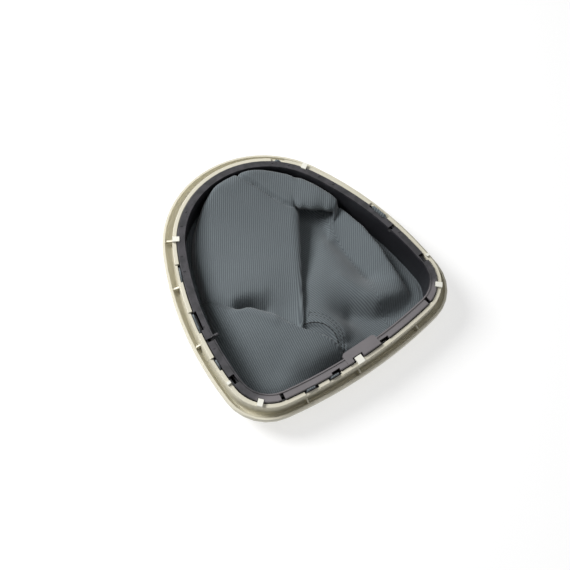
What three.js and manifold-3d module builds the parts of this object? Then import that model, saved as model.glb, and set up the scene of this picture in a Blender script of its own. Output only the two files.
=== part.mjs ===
// Gear lever gaiter: a moulded trim bezel, the retaining frame clipped into it, and the
// sewn gaiter clamped between the two. The assembly lies face down, so +Z points to its
// underside, the straight base edge faces -Y and the round apex faces +Y. Millimetres.
import * as THREE from 'three';
import { mergeVertices } from 'three/addons/utils/BufferGeometryUtils.js';
import Module from 'manifold-3d';

const wasm = await Module();
wasm.setup();

// Outlines: five kinds of tangent arc, from the base edge round to the apex
const opening = { length: 156, width: 150, baseRadius: 357, cornerRadius: 20.7, sideRadius: 211, apexRadius: 58.4 };
const baseMargin = 14;          // trim's base edge to the opening's base edge
const sideMargin = 13.5;
const apexMargin = 17.2;
const trim = {
  length: opening.length + baseMargin + apexMargin,
  width: opening.width + 2 * sideMargin,
  baseRadius: opening.baseRadius - 3,
  cornerRadius: opening.cornerRadius + 11,
  sideRadius: opening.sideRadius + 19,
  apexRadius: opening.apexRadius + 13.8,
};

// Heights above the trim's crown, which lies on the table
const lipHeight = 30;           // crown to the frame's raised lip
const rimHeight = 20.2;         // crown to the trim's outer rim
const wallTop = 26.5;           // crown to the top of the trim's locating wall
const brimHeight = 13;          // crown to the show side of the trim's shallow brim

// Walls and clearances
const clearance = 0.3;          // between pieces that touch
const clothThickness = 1.1;     // leatherette with its knitted backing
const frameWall = 2;            // frame's deep inner wall
const flangeWidth = 5.4;        // frame's flange, lip to outer edge
const flangeThickness = 1.8;
const skirtThickness = 1.4;     // frame's outer skirt
const skirtDepth = 8;           // lip to the skirt's lower edge
const beadWidth = 0.9;          // raised lip round the opening
const beadHeight = 0.7;
const frameDraft = 1;           // the deep wall leans out by this at its foot
const shellThickness = 2;       // trim shell
const locatingWall = 1.4;       // trim's upright locating wall

// Places worked out from the sizes above
const frameFoot = shellThickness + clearance * 2 + clothThickness + 0.2;
const flangeTop = lipHeight - beadHeight;
const wallInset = flangeWidth + clearance * 2 + clothThickness;

const wallOuter = wallInset + locatingWall;
const trimBaseY = -trim.length / 2;
const openingBaseY = trimBaseY + baseMargin;
const sheetFoot = frameFoot - clearance - clothThickness / 2;

// Trim's crown, which lies on the table, as offsets outwards from the opening
const crownInner = 3.6;
const crownOuter = 5.6;

// Places round the opening, in degrees from the middle of the base (+ to the right)
const hookAngles = mirrored([45, 135.7]);
const smallHookAngles = mirrored([55.8]);
const notchAngles = mirrored([55.8]);
const sideSlotAngles = mirrored([74]);
const flexSlotAngles = mirrored([38.5]);
const tabAngles = mirrored([85]);
const pinAngles = mirrored([70, 81.3, 116, 125.7, 143.5, 152]);
const ribAngles = [-3.9, ...mirrored([30, 76.2, 110.3, 138])];
const pegAngle = -75;

// Snap hooks of the trim, which reach over the flange into shallow pockets
const hookWidth = 3.6;
const hookReach = 3.8;          // nose tip to the opening's outline
const pocketDepth = 1;
const ribThickness = 1.2;
const trimReach = 20;           // longer than any rib, which the trough cuts to length
const ribTop = rimHeight - 1.6;

// Latch block on the base bar, with a notch and two windows beside it
const latch = { from: -12.5, to: 14, inner: -3.2, depth: 5, cornerRadius: 2.5 };
const latchNotch = { from: -7.9, to: -0.1, inner: 2.6 };
const latchWindows = [{ from: -25, to: -18.6, inner: 2.8 }, { from: 14.6, to: 21.4, inner: 2.8 }];

// Gaiter: one sewn sheet, clamped round the frame and collapsed into three folds inside it.
// Its columns run from the opening's wall to the gather over the collar, where the near fold's
// ridge crosses. Angles below are in degrees about the gather, from +X anticlockwise.
const gather = new THREE.Vector2(-17, -47);
const ridge = { angle: 121.5, halfLength: 10, tuck: 7 };
const firstAngle = -63.4;
const nearEnd = 296.5;
const creaseAngle = 57.5;
const pleatSpread = 2.6;
const wallGap = 0.7;            // middle of the cloth to the opening's wall
// Pleats run towards the gather; their high side overlaps the low one by this much
const pleats = [
  { at: creaseAngle, overlap: 3.6, start: 0.16 },
  { at: ridge.angle, overlap: 4, start: 0.42 },
  { at: nearEnd, overlap: 2, start: 0.35 },
];
// Fold's edge along the wall: [angle, gap to the wall, width of its rise, height of the cloth in the gap]
const foldEdges = [
  [-64, 1, 9, 3], [-30, 3, 8, 3.5], [-14, 7, 5, 5], [-7, 9.5, 3.5, 6.5], [7, 8.5, 3.2, 6.5],
  [18, 5.5, 2.8, 5], [30, 2.5, 2.2, 3.5], [40, 0.6, 1.8, 3], [50, 0.4, 2.2, 3], [80, 0.4, 2.4, 3],
  [90, 3, 3, 3], [100, 4.4, 3.6, 3], [108, 4.2, 4, 3], [118, 5.4, 4.4, 3], [132, 5.6, 5, 3],
  [145, 4.4, 8, 3], [160, 2.6, 11, 3], [200, 1, 10, 3], [240, 0.8, 6, 3], [280, 0.8, 6, 3],
  [300, 0.8, 7, 3],
];
// Rolled flap along the far wall, which overhangs a pocket: [angle, height at its edge, at the wall]
const flap = { from: 40, fade: 1.8, width: 17.5, tuck: 9, roll: 3.3, relief: 1.8, fades: [60, 76] };
const flapHeights = [[36, 20.5, 16.5], [41, 21.8, 17.5], [50, 23, 21], [60, 24.4, 24.4]];

// Crests and valleys of each fold, as lines through [x, y, height], which a smooth surface follows
const foldLines = {
  left: [
    [[3, 77, 27.5], [10, 66, 25.8], [20, 47, 23.2]],
    [[30, 60, 24.5]],
    [[34, 31, 22], [24, 16, 21.4], [11, -3, 20.4], [-7, -27, 18.4], [-18, -43, 16]],
    [[-41, -5, 12.5], [-33, -10, 8.4], [-26, -19, 7.8], [-24, -32, 10]],
    [[-45, 8, 16.4], [-36, 4, 17], [-26, -1, 17], [-17, -10, 17.2], [-13, -24, 16.2]],
    [[-20.5, 68, 21], [-35, 56, 18], [-47, 39, 16], [-54, 22, 15], [-56, 8, 14.6]],
    [[-24, 50.6, 19.6], [-9.5, 41, 20.8], [8, 29.5, 21.5]],
    [[-46, 20, 16.6], [-24, 17, 18.6], [3, 3, 20], [-4, -12, 19]],
  ],
  near: [
    [[-58, 20, 14.4], [-50, 6, 15.2]],
    [[-42.5, -6.6, 16.6], [-36.1, -17.1, 18.2], [-29.9, -29.2, 19.4], [-20, -43.8, 20.2], [-14, -55, 20], [-8.5, -66, 19]],
    [[-54, -8, 13], [-47, -28, 14.4], [-38, -42, 16], [-28, -56, 17]],
    [[-60, -7, 11.5], [-60, -28, 8.6], [-57, -48, 7.2], [-48, -56, 8]],
    [[-40, -67, 11.6], [-22, -70, 16], [-8, -75, 16.5]],
    [[-60, -62, 8], [-48, -71, 9.6]],
  ],
  low: [
    [[66, 24, 17.5], [66, 2, 17.6], [65, -20, 17], [62.5, -37, 15], [59, -56, 11.4]],
    [[70, 6, 16], [71, -20, 15], [69, -42, 12], [68, -58, 8]],
    [[58, 14, 14.6], [57, -6, 13.6], [56, -24, 13], [54, -42, 11.6]],
    [[44, 16, 7.5], [45.5, -10, 7.2], [47, -36, 8]],
    [[36, 2, 11], [37, -14, 12.2], [38, -32, 12.4]],
    [[6, -19, 15], [20, -20, 15.6], [29, -32, 15.2], [33, -46, 13], [40, -57, 10], [56, -61, 9]],
    [[25, 47, 4.5], [38, 33, 5], [46, 22, 5]],
    [[24, 30, 5.5], [14, 10, 7], [2, -8, 10]],
    [[26, 12, 7.5], [25, 0, 10]],
    [[12, -45, 10.5], [18, -53, 6.5], [25, -62, 4.6], [38, -69, 4.4], [54, -74, 4.8]],
    [[-9.5, -35, 15.2], [-2, -41, 15.8], [3, -51, 15.2], [5, -60.5, 13.4], [-1, -69.5, 11.4]],
    [[0, -28, 14.6], [9, -35, 14.8]],
    [[-17, -50, 13], [-12, -62, 12], [14, -69, 5.4]],
  ],
};
const placeSpacing = 9;
const plateStiffness = 12;
const restRows = 11;
const clampEdge = 24.3;         // cloth edge outside the frame's skirt
const tabEdge = 28.9;
const clothTabs = [[85, 13], [-85, 13], [-115.7, 11], [-63.7, 6], [-27.7, 7], [-16.5, 7], [149.5, 6]];
const clampPath = [
  [flangeWidth + clearance, lipHeight - skirtDepth],
  [flangeWidth - 0.6, lipHeight - skirtDepth - 1.4],
  [frameWall + frameDraft + clearance + 0.1, lipHeight - skirtDepth - 3.4],
  [frameWall + frameDraft + clearance + 0.05, frameFoot + 0.4],
  [frameWall + frameDraft, frameFoot - clearance - clothThickness / 2 - 0.1],
  [0.6, sheetFoot],
];

// Stations round an outline: [count on the half base, corner, side, half apex]
const stationCounts = [6, 6, 9, 11];

// Returns the outline's stations, anticlockwise from the middle of the base, with outward normals
function outlineStations(size, baseY) {
  const half = size.width / 2;
  const apexY = baseY + size.length;
  const base = new THREE.Vector2(0, baseY + size.baseRadius);
  const cornerX = half - size.cornerRadius;
  const reach = size.baseRadius - size.cornerRadius;
  const corner = new THREE.Vector2(cornerX, base.y - Math.sqrt(reach ** 2 - cornerX ** 2));
  const apex = new THREE.Vector2(0, apexY - size.apexRadius);
  const side = tangentCentre(corner, size.sideRadius - size.cornerRadius, apex, size.sideRadius - size.apexRadius);
  const joins = [
    0,
    heading(corner.clone().sub(base)),
    heading(corner.clone().sub(side)),
    heading(apex.clone().sub(side)),
    Math.PI,
  ];
  const arcs = [[base, size.baseRadius], [corner, size.cornerRadius], [side, size.sideRadius], [apex, size.apexRadius]];
  const right = [];
  arcs.forEach(([centre, radius], arc) => {
    for (let i = 0; i < stationCounts[arc]; i++) {
      const turn = THREE.MathUtils.lerp(joins[arc], joins[arc + 1], i / stationCounts[arc]);
      right.push(station(centre, radius, turn));
    }
  });
  const top = station(apex, size.apexRadius, Math.PI);
  const left = right.slice(1).reverse().map(({ x, y, nx, ny }) => ({ x: -x, y, nx: -nx, ny }));
  return [...right, top, ...left];
}

// Angle from the direction of the base edge, anticlockwise seen from above
function heading(vector) {
  return Math.atan2(vector.x, -vector.y);
}

function station(centre, radius, turn) {
  const nx = Math.sin(turn);
  const ny = -Math.cos(turn);
  return { x: centre.x + radius * nx, y: centre.y + radius * ny, nx, ny };
}

// Centre at the given distances from two other centres, on the side away from the arc
function tangentCentre(a, fromA, b, fromB) {
  const apart = a.distanceTo(b);
  const along = (fromA ** 2 - fromB ** 2 + apart ** 2) / (2 * apart);
  const across = Math.sqrt(fromA ** 2 - along ** 2);
  const unit = b.clone().sub(a).divideScalar(apart);
  return new THREE.Vector2(a.x + unit.x * along - unit.y * across, a.y + unit.y * along + unit.x * across);
}

const openingLine = outlineStations(opening, trimBaseY + baseMargin);
const trimLine = outlineStations(trim, trimBaseY);
const stationTotal = openingLine.length;

// Point on an outline, moved outwards by offset, at height z
function ringPoint(line, index, offset, z) {
  const { x, y, nx, ny } = line[(index + stationTotal) % stationTotal];
  return new THREE.Vector3(x + nx * offset, y + ny * offset, z);
}

// Closed ring swept round the outlines: each section corner is [line, offset, z]
function sweptRing(section) {
  const positions = [];
  for (let i = 0; i < stationTotal; i++) {
    for (const [line, offset, z] of section) {
      positions.push(...ringPoint(line, i, offset, z).toArray());
    }
  }
  const count = section.length;
  const index = [];
  for (let i = 0; i < stationTotal; i++) {
    const next = (i + 1) % stationTotal;
    for (let j = 0; j < count; j++) {
      const after = (j + 1) % count;
      const [a, b, c, d] = [i * count + j, next * count + j, next * count + after, i * count + after];
      index.push(a, b, c, a, c, d);
    }
  }
  return indexedGeometry(positions, index);
}

function indexedGeometry(positions, index) {
  const geometry = new THREE.BufferGeometry();
  geometry.setAttribute('position', new THREE.Float32BufferAttribute(positions, 3));
  geometry.setIndex(index);
  return geometry;
}

function toSolid(geometry) {
  const bare = geometry.clone();
  bare.deleteAttribute('normal');
  bare.deleteAttribute('uv');
  const merged = mergeVertices(bare, 1e-4);
  const vertProperties = new Float32Array(merged.attributes.position.array);
  const triVerts = new Uint32Array(merged.index.array);
  return new wasm.Manifold(new wasm.Mesh({ numProp: 3, vertProperties, triVerts }));
}

function toGeometry(solid) {
  const { vertProperties, triVerts } = solid.getMesh();
  const geometry = indexedGeometry(Array.from(vertProperties), Array.from(triVerts));
  geometry.computeVertexNormals();
  return geometry;
}

// Station index nearest to a direction, in degrees from the base edge's middle (+ to the right)
function stationAt(degrees) {
  const turn = THREE.MathUtils.degToRad(degrees);
  let best = 0;
  let smallest = Infinity;
  openingLine.forEach(({ x, y }, i) => {
    const gap = Math.abs(Math.atan2(Math.sin(Math.atan2(x, -y) - turn), Math.cos(Math.atan2(x, -y) - turn)));
    if (gap < smallest) {
      smallest = gap;
      best = i;
    }
  });
  return best;
}

// Place on the opening's outline in an exact direction from the middle
function placeAt(degrees) {
  const near = stationAt(degrees);
  const turn = THREE.MathUtils.degToRad(degrees);
  const direction = new THREE.Vector2(Math.sin(turn), -Math.cos(turn));
  const { x, y, nx, ny } = openingLine[near];
  const along = (x * nx + y * ny) / (direction.x * nx + direction.y * ny);
  return { x: direction.x * along, y: direction.y * along, nx, ny };
}

// Block standing on the outline: from inner to outer offset, width along the edge, zLow to zHigh
function outlineBlock(degrees, inner, outer, width, zLow, zHigh) {
  const { x, y, nx, ny } = placeAt(degrees);
  const block = new THREE.BoxGeometry(outer - inner, width, zHigh - zLow);
  block.rotateZ(Math.atan2(ny, nx));
  const middle = (inner + outer) / 2;
  block.translate(x + nx * middle, y + ny * middle, (zLow + zHigh) / 2);
  return toSolid(block);
}

function mirrored(angles) {
  return angles.flatMap((angle) => [angle, -angle]);
}

// Box along the base: from and to are X, inner and outer are offsets outwards from the opening
function baseBlock({ from, to, inner }, outer, zLow, zHigh) {
  const block = new THREE.BoxGeometry(to - from, outer - inner, zHigh - zLow);
  block.translate((from + to) / 2, openingBaseY - (inner + outer) / 2, (zLow + zHigh) / 2);
  return toSolid(block);
}

function latchBlock() {
  const { from, to, inner, depth, cornerRadius } = latch;
  const [top, bottom] = [openingBaseY - inner, openingBaseY - flangeWidth + 0.4];
  const outline = new THREE.Shape();
  outline.moveTo(from, bottom);
  outline.lineTo(to, bottom);
  outline.lineTo(to, top - cornerRadius);
  outline.absarc(to - cornerRadius, top - cornerRadius, cornerRadius, 0, Math.PI / 2);
  outline.absarc(from + cornerRadius, top - cornerRadius, cornerRadius, Math.PI / 2, Math.PI);
  const block = new THREE.ExtrudeGeometry(outline, { depth, bevelEnabled: false, curveSegments: 5 });
  block.translate(0, 0, lipHeight - depth);
  return toSolid(block);
}

function pin(degrees) {
  const { x, y, nx, ny } = placeAt(degrees);
  const post = new THREE.CylinderGeometry(0.7, 0.9, 1, 8);
  post.rotateX(Math.PI / 2);
  post.translate(x + nx * 3.4, y + ny * 3.4, flangeTop);
  return toSolid(post);
}

// Round-ended peg that leans inwards over the opening from the flange
function peg(degrees) {
  const { x, y, nx, ny } = placeAt(degrees);
  const rod = new THREE.CapsuleGeometry(1, 5.6, 3, 8);
  rod.rotateX(Math.PI / 2);
  rod.rotateY(THREE.MathUtils.degToRad(-72));
  rod.rotateZ(Math.atan2(ny, nx));
  rod.translate(x, y, flangeTop - 0.4);
  return toSolid(rod);
}

// Retaining frame: deep wall, flange with a raised lip, and an outer skirt, in one moulding
function retainingFrame() {
  const under = flangeTop - flangeThickness;
  const skirtFoot = lipHeight - skirtDepth;
  const section = [
    [openingLine, frameDraft, frameFoot],
    [openingLine, frameDraft + frameWall, frameFoot],
    [openingLine, frameWall + 0.2, under],
    [openingLine, flangeWidth - skirtThickness, under],
    [openingLine, flangeWidth - skirtThickness, skirtFoot],
    [openingLine, flangeWidth, skirtFoot],
    [openingLine, flangeWidth, flangeTop - 0.5],
    [openingLine, flangeWidth - 0.5, flangeTop],
    [openingLine, beadWidth + 0.2, flangeTop],
    [openingLine, beadWidth, lipHeight],
    [openingLine, 0.15, lipHeight],
    [openingLine, 0, lipHeight - 0.4],
  ];
  const above = lipHeight + 1;
  const past = flangeWidth + 1;
  let frame = toSolid(sweptRing(section)).add(latchBlock()).add(peg(pegAngle));
  for (const angle of pinAngles) {
    frame = frame.add(pin(angle));
  }
  const cuts = [
    ...hookAngles.map((a) => outlineBlock(a, hookReach - 0.4, past, hookWidth + 1, flangeTop - pocketDepth, above)),
    ...notchAngles.map((a) => outlineBlock(a, 1.5, past, 6.2, under - 2, above)),
    ...sideSlotAngles.map((a) => outlineBlock(a, -1, past, 2.4, under - 1, above)),
    ...flexSlotAngles.map((a) => outlineBlock(a, beadWidth, past, 2.6, under - 1.5, above)),
    ...tabAngles.map((a) => outlineBlock(a, 3.6, past, 14, under - 3, above)),
    baseBlock(latchNotch, past, under - 3, above),
    ...latchWindows.map((window) => baseBlock(window, past, under - 3, above)),
  ];
  for (const cut of cuts) {
    frame = frame.subtract(cut);
  }
  return frame;
}

// Corners of the trim's outer face: up from the crown, out along the brim and up to the rim
const trimFace = [
  [openingLine, crownOuter + 1.7, 0.6],
  [openingLine, wallOuter + 0.1, 2.2],
  [openingLine, wallOuter + 0.4, brimHeight - 2.2],
  [openingLine, wallOuter + 1, brimHeight - 0.6],
  [trimLine, -3.4, brimHeight + 0.4],
  [trimLine, -1.2, brimHeight + 2],
  [trimLine, 0, rimHeight - 3.4],
  [trimLine, 0, rimHeight - 0.8],
  [trimLine, -0.4, rimHeight],
];

function hook(degrees, reach, width, zHigh) {
  const noseBottom = flangeTop - pocketDepth + clearance;
  const nose = outlineBlock(degrees, reach, wallOuter, width, noseBottom, zHigh);
  const post = outlineBlock(degrees, wallInset, wallOuter, width, wallTop - 1, zHigh);
  return nose.add(post);
}

// Trim bezel: a collar with a shallow brim, its rim and ribs, the locating wall and snap hooks
function trimBezel() {
  const section = [
    [openingLine, 2.2, shellThickness - 0.1],
    [openingLine, 2, 1],
    [openingLine, 2.6, 0.3],
    [openingLine, crownInner, 0],
    [openingLine, crownOuter, 0],
    ...trimFace,
    [trimLine, -1.7, rimHeight],
    [trimLine, -2, rimHeight - 0.5],
    [trimLine, -2.3, brimHeight + 3.6],
    [trimLine, -3.6, brimHeight + 2.5],
    [openingLine, wallOuter + 0.9, brimHeight + 1.6],
    [openingLine, wallOuter + 0.2, brimHeight + 2.4],
    [openingLine, wallOuter, wallTop],
    [openingLine, wallInset, wallTop],
    [openingLine, wallInset, shellThickness + 0.4],
    [openingLine, wallInset - 1, shellThickness],
  ];
  const troughFill = toSolid(sweptRing([
    [openingLine, wallOuter - 0.4, brimHeight + 0.6],
    [trimLine, -3.4, brimHeight + 1.4],
    [trimLine, -1, brimHeight + 3.2],
    [trimLine, -1, ribTop],
    [openingLine, wallOuter - 0.4, ribTop + 2],
  ]));
  let bezel = toSolid(sweptRing(section));
  for (const angle of ribAngles) {
    bezel = bezel.add(outlineBlock(angle, wallInset, trimReach, ribThickness, 0, lipHeight).intersect(troughFill));
  }
  for (const angle of hookAngles) {
    bezel = bezel.add(hook(angle, hookReach, hookWidth, lipHeight));
  }
  for (const angle of smallHookAngles) {
    bezel = bezel.add(hook(angle, hookReach + 2.2, hookWidth - 1.6, lipHeight - 0.6));
  }
  return bezel.add(baseHook());
}

// Hook that stands in the latch block's notch
function baseHook() {
  const { from, to, inner } = latchNotch;
  const sides = { from: from + 1.4, to: to - 1.4 };
  const nose = baseBlock({ ...sides, inner: inner + 0.6 }, wallOuter, flangeTop - pocketDepth, lipHeight - 0.3);
  const post = baseBlock({ ...sides, inner: wallInset + 0.2 }, wallOuter, wallTop - 1, lipHeight - 0.3);
  return nose.add(post);
}

function smooth(from, to, value) {
  return THREE.MathUtils.smoothstep(value, from, to);
}

// Smooth curve through [place, value] pairs, at a place between the first and last
function through(pairs, place) {
  const last = pairs.length - 1;
  const at = THREE.MathUtils.clamp(place, pairs[0][0], pairs[last][0]);
  let i = 0;
  while (i < last - 1 && at > pairs[i + 1][0]) {
    i += 1;
  }
  const share = (at - pairs[i][0]) / (pairs[i + 1][0] - pairs[i][0]);
  return THREE.MathUtils.lerp(pairs[i][1], pairs[i + 1][1], share * share * (3 - 2 * share));
}

// Where a ray from the gather meets the opening's outline: the two stations and the share between
function wallMeeting(degrees) {
  const turn = THREE.MathUtils.degToRad(degrees);
  const [dx, dy] = [Math.cos(turn), Math.sin(turn)];
  for (let i = 0; i < stationTotal; i++) {
    const a = openingLine[i];
    const b = openingLine[(i + 1) % stationTotal];
    const sideA = dx * (a.y - gather.y) - dy * (a.x - gather.x);
    const sideB = dx * (b.y - gather.y) - dy * (b.x - gather.x);
    const ahead = dx * (a.x - gather.x) + dy * (a.y - gather.y) > 0;
    if (ahead && sideA <= 0 && sideB > 0) {
      return { index: i, share: sideA / (sideA - sideB) };
    }
  }
  throw new Error(`no wall at ${degrees} degrees`);
}

function wallPoint({ index, share }, offset, z) {
  return ringPoint(openingLine, index, offset, z).lerp(ringPoint(openingLine, index + 1, offset, z), share);
}

// Evenly spaced places along a line of points
function placesAlong(line) {
  const lengths = [0];
  for (let i = 1; i < line.length; i++) {
    lengths.push(lengths[i - 1] + Math.hypot(line[i][0] - line[i - 1][0], line[i][1] - line[i - 1][1]));
  }
  const last = lengths.length - 1;
  const steps = last === 0 ? 0 : Math.max(1, Math.round(lengths[last] / placeSpacing));
  return Array.from({ length: steps + 1 }, (_, step) => {
    const wanted = steps === 0 ? 0 : (lengths[last] * step) / steps;
    let i = 0;
    while (i < last - 1 && wanted > lengths[i + 1]) {
      i += 1;
    }
    const share = last === 0 ? 0 : (wanted - lengths[i]) / (lengths[i + 1] - lengths[i]);
    return line[i].map((value, k) => THREE.MathUtils.lerp(value, line[Math.min(i + 1, last)][k], share));
  });
}

// Thin plate close to the given lines: returns its height over any plan point
function plate(lines) {
  const places = lines.flatMap(placesAlong);
  const bend = (x, y) => {
    const squared = x * x + y * y;
    return 0.5 * squared * Math.log(squared + 1e-9);
  };
  const count = places.length;
  const rows = places.map(([x, y, z], i) => [
    ...places.map(([px, py], j) => bend(x - px, y - py) + (i === j ? plateStiffness : 0)), 1, x, y, z,
  ]);
  const flat = [() => 1, ([x]) => x, ([, y]) => y];
  flat.forEach((part) => rows.push([...places.map(part), 0, 0, 0, 0]));
  const weights = solved(rows);
  return (x, y) => places.reduce((sum, [px, py], i) => sum + weights[i] * bend(x - px, y - py),
    weights[count] + weights[count + 1] * x + weights[count + 2] * y);
}

// Solves the linear equations whose rows end with their right-hand side
function solved(rows) {
  const size = rows.length;
  for (let i = 0; i < size; i++) {
    let best = i;
    for (let j = i + 1; j < size; j++) {
      if (Math.abs(rows[j][i]) > Math.abs(rows[best][i])) {
        best = j;
      }
    }
    [rows[i], rows[best]] = [rows[best], rows[i]];
    for (let j = 0; j < size; j++) {
      const factor = j === i ? 0 : rows[j][i] / rows[i][i];
      for (let k = i; k <= size; k++) {
        rows[j][k] -= factor * rows[i][k];
      }
    }
  }
  return rows.map((row, i) => row[size] / row[i]);
}

const foldHeights = {
  left: plate(foldLines.left),
  near: plate(foldLines.near),
  low: plate(foldLines.low),
};

// How much of each fold shows; the left and near folds run smoothly into each other by the wall
function foldShares(degrees, share) {
  const past = (at, spread) => smooth(at - spread, at + spread, degrees);
  const pastRidge = past(ridge.angle, pleatSpread + 9 * (1 - smooth(0.22, 0.44, share)));
  const near = pastRidge * (1 - past(nearEnd, pleatSpread));
  const left = past(creaseAngle, pleatSpread) * (1 - pastRidge);
  return { left, near, low: 1 - left - near };
}

// A pleat's sideways shift, in millimetres along rising angle, at this angle and share
function pleatShift(degrees, share, distance) {
  let shift = 0;
  for (const { at, side, overlap, start } of pleats) {
    const across = (degrees - at) / pleatSpread;
    if (Math.abs(across) < 1) {
      const reach = Math.min(overlap, distance * 0.3) * smooth(start, start + 0.2, share);
      shift -= reach * Math.sin(Math.PI * across);
    }
  }
  return shift;
}

// One column of the sheet, from its outer edge round the frame's wall and in to the gather
function gaiterColumn(degrees) {
  const meeting = wallMeeting(((degrees + 90 + 360) % 360) - 90);
  const place = placeHeading(wallPoint(meeting, 0, 0));
  const tab = clothTabs.some(([at, width]) => Math.abs(place.degrees - at) * place.perDegree < width / 2);
  const column = [wallPoint(meeting, flangeWidth + clearance + clothThickness / 2, tab ? tabEdge : clampEdge)];
  for (const [offset, z] of clampPath) {
    column.push(wallPoint(meeting, offset + clothThickness / 2, z));
  }
  const wall = wallPoint(meeting, -wallGap, 0);
  const outward = wallPoint(meeting, 0, 0).sub(wall).normalize();
  const end = gatherEnd(degrees);
  const path = new THREE.Vector3(end.x - wall.x, end.y - wall.y, 0);
  const reach = path.length();
  path.normalize();
  const slant = Math.max(0.35, -path.dot(outward));
  const inFlap = smooth(flap.from, flap.from + flap.fade, degrees)
    * (1 - smooth(creaseAngle - pleatSpread, creaseAngle + pleatSpread, degrees));
  const besideFlap = inFlap > 0 && degrees > flap.from + flap.fade;
  const turn = THREE.MathUtils.degToRad(degrees);
  const at = (travelled) => {
    const aside = pleatShift(degrees, travelled / reach, reach - travelled);
    return wall.clone().addScaledVector(path, travelled).add(
      new THREE.Vector3(-Math.sin(turn) * aside, Math.cos(turn) * aside, 0));
  };
  const over = inFlap > 0 ? flapRows(degrees, slant, reach, at) : null;
  plainRows(degrees, slant, reach).forEach((travelled, row) => {
    const point = at(travelled);
    const shares = besideFlap ? { left: 1, near: 0, low: 0 } : foldShares(degrees, travelled / reach);
    point.z = plainHeight(degrees, travelled * slant, point, shares);
    if (over) {
      const [overTravelled, z] = over[row];
      const overPoint = at(overTravelled);
      overPoint.z = z;
      point.lerp(overPoint, inFlap);
    }
    column.push(point);
  });
  return column;
}

// Distances from the wall of a plain column's rows, which fall in with the flap's rows beside it
function plainRows(degrees, slant, reach) {
  const gap = through(foldEdges.map(([angle, value]) => [angle, value]), degrees) / slant;
  const width = through(foldEdges.map(([angle, , value]) => [angle, value]), degrees) / slant;
  const besideFlap = degrees > flap.from && degrees < flap.fades[1];
  const rise = besideFlap
    ? [0, 0.8, 2.6, flap.width - 4, flap.width - 1.5, flap.width + 0.5].map((inward) => inward / slant)
    : [0, 0.5 * gap, gap, ...[0.12, 0.4, 1].map((part) => gap + width * part)];
  const far = rise[rise.length - 1];
  const rest = Array.from({ length: restRows }, (_, i) => THREE.MathUtils.lerp(far, reach, (i + 1) / restRows));
  return [...rise, ...rest];
}

// Height of the sheet outside the flap, at a distance inwards from the wall
function plainHeight(degrees, inward, point, { left, near, low }) {
  const [gap, width, floor] = [1, 2, 3].map((k) => through(foldEdges.map((row) => [row[0], row[k]]), degrees));
  const rounded = (share) => Math.sqrt(1 - (1 - THREE.MathUtils.clamp(share, 0, 1)) ** 2);
  let layer = left * foldHeights.left(point.x, point.y) + near * foldHeights.near(point.x, point.y)
    + low * foldHeights.low(point.x, point.y);
  layer += left * (1 - smooth(...flap.fades, degrees)) * flap.relief
    * (1 - smooth(flap.width - 2, flap.width + 0.5, inward));
  const base = sheetFoot + Math.max(0, floor - sheetFoot) * rounded(inward / 2);
  return base + (layer - base) * rounded((inward - gap) / width);
}

// Rows over the rolled flap, back beneath it and on over the low fold: [distance from the wall, height]
function flapRows(degrees, slant, reach, at) {
  const edge = through(flapHeights.map(([angle, value]) => [angle, value]), degrees);
  const top = through(flapHeights.map(([angle, , value]) => [angle, value]), degrees);
  const out = flap.width / slant;
  const tucked = out - flap.tuck;
  const under = edge - 2 * flap.roll;
  const low = (travelled) => {
    const { x, y } = at(travelled);
    return foldHeights.low(x, y);
  };
  const floor = low(tucked + 3);
  const roll = [45, 90, 135].map((angle) => THREE.MathUtils.degToRad(angle)).map((angle) => [
    out - flap.roll + flap.roll * Math.sin(angle),
    edge - flap.roll + flap.roll * Math.cos(angle),
  ]);
  const rows = [
    [0, sheetFoot],
    [0.8, top - 1.2],
    [2.6, top],
    [out - flap.roll, edge],
    ...roll,
    [tucked + 2, under],
    [tucked, (under + floor) / 2],
    [tucked + 2, floor],
  ];
  const left = restRows + 6 - rows.length;
  for (let i = 1; i <= left; i++) {
    const travelled = THREE.MathUtils.lerp(tucked + 2, reach, i / left);
    rows.push([travelled, low(travelled)]);
  }
  return rows;
}

// Inner ends lie along the ridge for the near fold, and tucked beneath it for the rest
function gatherEnd(degrees) {
  const onRidge = degrees > ridge.angle && degrees < nearEnd;
  const along = onRidge
    ? THREE.MathUtils.mapLinear(degrees, ridge.angle, nearEnd, 1, -1)
    : THREE.MathUtils.mapLinear(degrees > nearEnd ? degrees - 360 : degrees, nearEnd - 360, ridge.angle, -1, 1);
  const turn = THREE.MathUtils.degToRad(ridge.angle);
  const tuck = onRidge ? 0 : ridge.tuck;
  return {
    x: gather.x + Math.cos(turn) * along * ridge.halfLength - Math.sin(turn) * tuck,
    y: gather.y + Math.sin(turn) * along * ridge.halfLength + Math.cos(turn) * tuck,
  };
}

// Direction of a point from the middle of the part, and millimetres for each degree there
function placeHeading(point) {
  return {
    degrees: THREE.MathUtils.radToDeg(Math.atan2(point.x, -point.y)),
    perDegree: THREE.MathUtils.degToRad(Math.hypot(point.x, point.y)),
  };
}

// Columns at the outline's own stations, with closer ones through each pleat and the flap's end
function columnAngles() {
  const all = openingLine.map(({ x, y }) => THREE.MathUtils.radToDeg(Math.atan2(y - gather.y, x - gather.x)));
  const turned = all.map((angle) => THREE.MathUtils.euclideanModulo(angle - firstAngle, 360) + firstAngle);
  const clear = turned.filter((angle) => pleats.every(({ at }) =>
    Math.abs(angle - at) > pleatSpread + 0.8 && Math.abs(angle + 360 - at) > pleatSpread + 0.8));
  const close = pleats.flatMap(({ at }) =>
    [-1, -0.7, -0.45, -0.15, 0.15, 0.45, 0.7, 1].map((part) => at + pleatSpread * part));
  const flapEnd = [0, 0.5, 1].map((part) => flap.from + flap.fade * part);
  const apart = clear.filter((angle) => flapEnd.every((end) => Math.abs(angle - end) > 0.9));
  return [...apart, ...close, ...flapEnd].sort((a, b) => a - b);
}

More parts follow.
